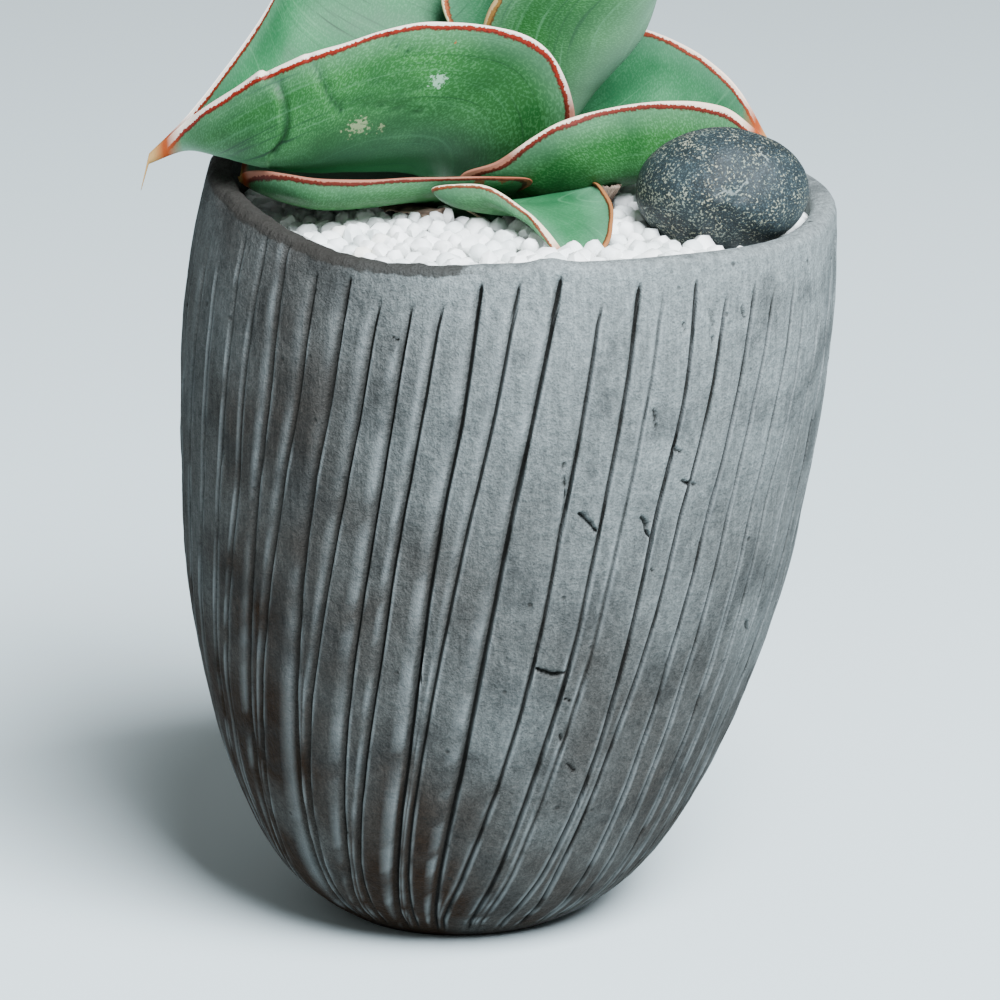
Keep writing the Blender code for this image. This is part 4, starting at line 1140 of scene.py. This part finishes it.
papery, tree, shader = finish("papery dead leaf")
where = add(tree, "ShaderNodeTexCoord", out=3)
fibre = add(tree, "ShaderNodeAttribute", out=2, attribute_name="fibre")
lengthwise = add(tree, "ShaderNodeCombineXYZ", {0: fibre, 1: 0.0, 2: 0.0})
threads = add(tree, "ShaderNodeTexNoise", {"Vector": lengthwise, "Scale": 70.0, "Detail": 3.0})
stain = add(tree, "ShaderNodeTexNoise", {"Vector": where, "Scale": 1.0 / (2.5 * MM), "Detail": 3.0})
worn = add(tree, "ShaderNodeMapRange", {0: stain, 1: 0.35, 2: 0.65})
brown = add(
    tree, "ShaderNodeMix", {0: worn, 6: linear("#5d4a3e"), 7: linear("#94806f")}, out=2, data_type="RGBA",
)
shade = add(tree, "ShaderNodeMapRange", {0: threads, 1: 0.3, 2: 0.7, 3: 0.6, 4: 1.25})
brown = add(
    tree, "ShaderNodeMix", {0: 1.0, 6: brown, 7: shade}, out=2, data_type="RGBA", blend_type="MULTIPLY",
)
tree.links.new(brown, shader.inputs["Base Color"])
shader.inputs["Roughness"].default_value = 0.85
normal = add(tree, "ShaderNodeBump", {"Height": threads, "Strength": 0.6, "Distance": 0.3 * MM})
tree.links.new(normal, shader.inputs["Normal"])
for flap_name, bearings, profile, tear in FLAPS:
    flap = flap_piece(flap_name, bearings, profile, tear)
    flap.data.materials.append(papery)
    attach(flap, "root")
    if flap_name == "dry_sheath_left":
        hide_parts("dry_basal_sheath")

# Pebble. One water-worn black stone with a matt skin, pitted and flecked with pale minerals that
# gather in a band, and crossed by one thin vein. It is set into the gravel against the rim.

PEBBLE_CENTRE = np.array([49.2, -21.2, 144.3])
PEBBLE_HALF = np.array([15.3, 12.0, 12.0])
PEBBLE_TILT = math.radians(-7.0)

deselect()
bpy.ops.mesh.primitive_ico_sphere_add(subdivisions=6, radius=1.0)
pebble = bpy.context.object
pebble.name = pebble.data.name = "pebble"
ball = vertices_of(pebble) * MM
ball /= np.linalg.norm(ball, axis=1, keepdims=True)
swell = 1.0 + 0.05 * np.cos(2.0 * np.arctan2(ball[:, 2], ball[:, 0]) + 0.8) - 0.04 * ball[:, 0]
stone = ball * PEBBLE_HALF * swell[:, None]
wear = 0.35 * ripple(stone, 9.0, 4.0) + 0.1 * ripple(stone, 2.6, 8.0) + 0.04 * ripple(stone, 1.0, 3.0)
stone += ball * wear[:, None]
turn_cos, turn_sin = math.cos(PEBBLE_TILT), math.sin(PEBBLE_TILT)
turned = stone.copy()
turned[:, 0] = stone[:, 0] * turn_cos + stone[:, 2] * turn_sin
turned[:, 2] = stone[:, 2] * turn_cos - stone[:, 0] * turn_sin
pebble.data.vertices.foreach_set("co", ((turned + PEBBLE_CENTRE) * MM).ravel())
pebble.data.update()
bpy.ops.object.shade_smooth()

# Fine-grained basalt, matt from wear: blue-black, dusted with pale green and blue-grey crystals
# that crowd toward one end and along a slanting band, with one thin grey vein across the top.
basalt, tree, shader = finish("water-worn black stone")
where = add(tree, "ShaderNodeTexCoord", out=3)
centred = add(tree, "ShaderNodeVectorMath", {0: where, 1: tuple(PEBBLE_CENTRE * MM)}, operation="SUBTRACT")
cloud = add(tree, "ShaderNodeTexNoise", {"Vector": centred, "Scale": 1.0 / (6.0 * MM), "Detail": 4.0})
tone = add(tree, "ShaderNodeMapRange", {0: cloud, 1: 0.32, 2: 0.68})
dark = add(
    tree, "ShaderNodeMix", {0: tone, 6: linear("#121a1c"), 7: linear("#1d282b")}, out=2, data_type="RGBA",
)
dust = add(tree, "ShaderNodeTexNoise", {"Vector": centred, "Scale": 1.0 / (0.32 * MM), "Detail": 1.0})
dusted = add(tree, "ShaderNodeMapRange", {0: dust, 1: 0.54, 2: 0.64, 3: 0.0, 4: 0.4})
dark = add(tree, "ShaderNodeMix", {0: dusted, 6: dark, 7: linear("#47595f")}, out=2, data_type="RGBA")
fine = add(tree, "ShaderNodeTexNoise", {
    "Vector": centred, "Scale": 1.0 / (0.46 * MM), "Detail": 2.0, "Roughness": 0.6,
})
thick = add(tree, "ShaderNodeTexNoise", {"Vector": centred, "Scale": 1.0 / (3.6 * MM), "Detail": 3.0})
side = add(tree, "ShaderNodeSeparateXYZ", {0: centred})
denser = add(tree, "ShaderNodeMapRange", {0: side, 1: 6.0 * MM, 2: -12.0 * MM, 3: 0.0, 4: 0.03})
spread = add(tree, "ShaderNodeMapRange", {0: thick, 1: 0.35, 2: 0.65, 3: -0.035, 4: 0.045})
level = add(tree, "ShaderNodeMath", {0: denser, 1: spread}, operation="ADD")
band_way = add(
    tree, "ShaderNodeVectorMath", {0: centred, 1: (-0.42, -0.25, 0.87)}, operation="DOT_PRODUCT", out=1,
)
sway = add(tree, "ShaderNodeMapRange", {0: cloud, 1: 0.3, 2: 0.7, 3: -1.8 * MM, 4: 1.8 * MM})
band = add(tree, "ShaderNodeMath", {0: band_way, 1: sway}, operation="ADD")
band_off = add(tree, "ShaderNodeMath", {0: band, 1: 3.5 * MM}, operation="ADD")
band_off = add(tree, "ShaderNodeMath", {0: band_off}, operation="ABSOLUTE")
in_band = add(tree, "ShaderNodeMapRange", {0: band_off, 1: 0.0, 2: 1.4 * MM, 3: 0.035, 4: 0.0})
level = add(tree, "ShaderNodeMath", {0: level, 1: in_band}, operation="ADD")
raised = add(tree, "ShaderNodeMath", {0: fine, 1: level}, operation="ADD")
fleck = add(tree, "ShaderNodeMapRange", {0: raised, 1: 0.6, 2: 0.66, 3: 0.0, 4: 0.75})
fleck_tint = add(
    tree, "ShaderNodeMix", {0: tone, 6: linear("#a9a88e"), 7: linear("#74827a")}, out=2, data_type="RGBA",
)
dark = add(tree, "ShaderNodeMix", {0: fleck, 6: dark, 7: fleck_tint}, out=2, data_type="RGBA")
vein_off = add(tree, "ShaderNodeMath", {0: band, 1: -5.2 * MM}, operation="ADD")
vein_off = add(tree, "ShaderNodeMath", {0: vein_off}, operation="ABSOLUTE")
vein = add(tree, "ShaderNodeMapRange", {0: vein_off, 1: 0.05 * MM, 2: 0.18 * MM, 3: 0.4, 4: 0.0})
gaps = add(tree, "ShaderNodeMapRange", {0: thick, 1: 0.44, 2: 0.5})
vein = add(tree, "ShaderNodeMath", {0: vein, 1: gaps}, operation="MULTIPLY")
dark = add(tree, "ShaderNodeMix", {0: vein, 6: dark, 7: linear("#9aa5a0")}, out=2, data_type="RGBA")
tree.links.new(dark, shader.inputs["Base Color"])
rough = add(tree, "ShaderNodeMapRange", {0: thick, 1: 0.3, 2: 0.7, 3: 0.55, 4: 0.72})
tree.links.new(rough, shader.inputs["Roughness"])
shader.inputs["Specular IOR Level"].default_value = 0.3
relief = add(tree, "ShaderNodeMath", {0: fleck, 1: -0.5, 2: fine}, operation="MULTIPLY_ADD")
normal = add(tree, "ShaderNodeBump", {"Height": relief, "Strength": 0.45, "Distance": 0.25 * MM})
tree.links.new(normal, shader.inputs["Normal"])
pebble.data.materials.append(basalt)
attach(pebble, "root")
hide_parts("black_pebble")

# Gravel. Tumbled chips of white marble, three to five millimetres across, poured in loose layers
# round the plant and the pebble nearly up to the rim.

CHIP_KINDS = 9
CHIP_SPACING = 3.9
CHIP_LAYERS = 3
LAYER_STEP = 2.9
CHIP_HALF = (1.8, 2.75)  # the least and the most half size of a chip
POT_MOUTH = 60.0  # the wall's outer radius at the gravel
GRAVEL_EDGE = 135.6  # height of the gravel against the wall
GRAVEL_MOUND = 5.6  # how much higher it stands in the middle
CROWN_CORE = 13.5  # no chips lie nearer to the middle of the plant
LOW_LEAF = "leaf_low_front_skin"
TIP_BURIED = -35.0  # in front of this the chips lie over the low leaf's tip

chips = []
for kind in range(CHIP_KINDS):
    deselect()
    bpy.ops.mesh.primitive_ico_sphere_add(subdivisions=2, radius=1.0)
    chip = bpy.context.object
    chip.name = chip.data.name = f"chip_{kind}"
    body_points = vertices_of(chip) * MM
    for cut in range(7):
        normal_way = chance.normal(size=3)
        normal_way /= np.linalg.norm(normal_way)
        past = np.maximum(body_points @ normal_way - chance.uniform(0.72, 0.92), 0.0)
        body_points -= past[:, None] * normal_way
    body_points += 0.05 * chance.uniform(-1.0, 1.0, body_points.shape)
    chip.data.vertices.foreach_set("co", body_points.ravel())
    thin = chip.modifiers.new("fewer faces", "DECIMATE")
    thin.ratio = 0.62
    bpy.ops.object.modifier_apply(modifier=thin.name)
    chips.append(chip)

blockers = {}
for thing in [pebble] + list(leaf_bodies.values()):
    blockers[thing.name] = BVHTree.FromPolygons(
        [v.co.copy() for v in thing.data.vertices], [tuple(p.vertices) for p in thing.data.polygons],
    )


def room_at(place, half):
    """Whether a chip of that half size at a place, in millimetres, is clear of plant and pebble.

    Chips press closer to the low leaf than to the others, and bury its tip.
    """
    spot = Vector(place) * MM
    for thing_name, faces in blockers.items():
        pressed = thing_name == LOW_LEAF
        if pressed and place[1] < TIP_BURIED:
            continue
        hit, way, _, distance = faces.find_nearest(spot)
        if distance < (0.45 if pressed else 0.82) * half * MM:
            return False
        if (spot - hit).dot(way) < 0.0 and distance < 6.0 * MM:
            return False
    return True


copies = []
span = int((POT_MOUTH + 2.0) / CHIP_SPACING) + 1
centre_x = POT_LEAN * GRAVEL_EDGE
for layer in range(CHIP_LAYERS):
    for i in range(-span, span + 1):
        for j in range(-span, span + 1):
            x = CHIP_SPACING * (i + 0.5 * (j % 2)) + chance.uniform(-0.65, 0.65)
            y = CHIP_SPACING * 0.866 * j + chance.uniform(-0.65, 0.65)
            half = chance.uniform(*CHIP_HALF)
            spin = chance.normal(size=4)
            stretch = chance.uniform(0.78, 1.12, 3)
            rise = chance.uniform(-0.55, 0.55)
            inner = POT_MOUTH - WALL - 0.85 * half - 0.25 * layer
            away_from_axis = math.hypot(x + 0.5 * layer - centre_x, y)
            if away_from_axis > inner:
                continue
            x += 0.5 * layer
            if math.hypot(x - CROWN[0], y - CROWN[1]) < CROWN_CORE:
                continue
            surface = GRAVEL_EDGE + GRAVEL_MOUND * (1.0 - (away_from_axis / (POT_MOUTH - 4.0)) ** 1.6)
            place = (x, y, surface - 0.75 * half + rise - LAYER_STEP * layer)
            if not room_at(place, half):
                continue
            source = chips[(i * 7 + j * 3 + layer) % CHIP_KINDS]
            twin = source.copy()
            twin.data = source.data.copy()
            bpy.context.scene.collection.objects.link(twin)
            turn = Quaternion(spin / np.linalg.norm(spin)).to_matrix()
            scale = Matrix.Diagonal(Vector(stretch * half * MM))
            twin.data.transform(Matrix.Translation(Vector(place) * MM) @ (turn @ scale).to_4x4())
            shade = twin.data.attributes.new("chip", "FLOAT", "POINT")
            shade.data.foreach_set("value", np.full(len(twin.data.vertices), chance.uniform(), np.float32))
            copies.append(twin)
deselect()
for chip in chips:
    bpy.data.objects.remove(chip)
for twin in copies:
    twin.select_set(True)
bpy.context.view_layer.objects.active = copies[0]
bpy.ops.object.join()
gravel = bpy.context.object
gravel.name = gravel.data.name = "gravel"
bpy.ops.object.shade_smooth_by_angle(angle=math.radians(38.0))

marble, tree, shader = finish("tumbled white marble")
where = add(tree, "ShaderNodeTexCoord", out=3)
chip_tone = add(tree, "ShaderNodeAttribute", out=2, attribute_name="chip")
sugar = add(tree, "ShaderNodeTexNoise", {"Vector": where, "Scale": 1.0 / (0.5 * MM), "Detail": 3.0})
veil = add(tree, "ShaderNodeTexNoise", {"Vector": where, "Scale": 1.0 / (2.2 * MM), "Detail": 2.0})
greyer = add(tree, "ShaderNodeMapRange", {0: chip_tone, 1: 0.45, 2: 1.0})
white = add(
    tree, "ShaderNodeMix", {0: greyer, 6: linear("#fbfcfa"), 7: linear("#e2e8e6")}, out=2, data_type="RGBA",
)
cloudy = add(tree, "ShaderNodeMapRange", {0: veil, 1: 0.5, 2: 0.7, 3: 0.0, 4: 0.3})
white = add(tree, "ShaderNodeMix", {0: cloudy, 6: white, 7: linear("#d5dddb")}, out=2, data_type="RGBA")
creamy = add(tree, "ShaderNodeMapRange", {0: chip_tone, 1: 0.06, 2: 0.0, 3: 0.0, 4: 0.5})
white = add(tree, "ShaderNodeMix", {0: creamy, 6: white, 7: linear("#e8e0c4")}, out=2, data_type="RGBA")
tree.links.new(white, shader.inputs["Base Color"])
shader.inputs["Roughness"].default_value = 0.55
normal = add(tree, "ShaderNodeBump", {"Height": sugar, "Strength": 0.35, "Distance": 0.15 * MM})
tree.links.new(normal, shader.inputs["Normal"])
gravel.data.materials.append(marble)
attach(gravel, "root")
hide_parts("gravel_bed")
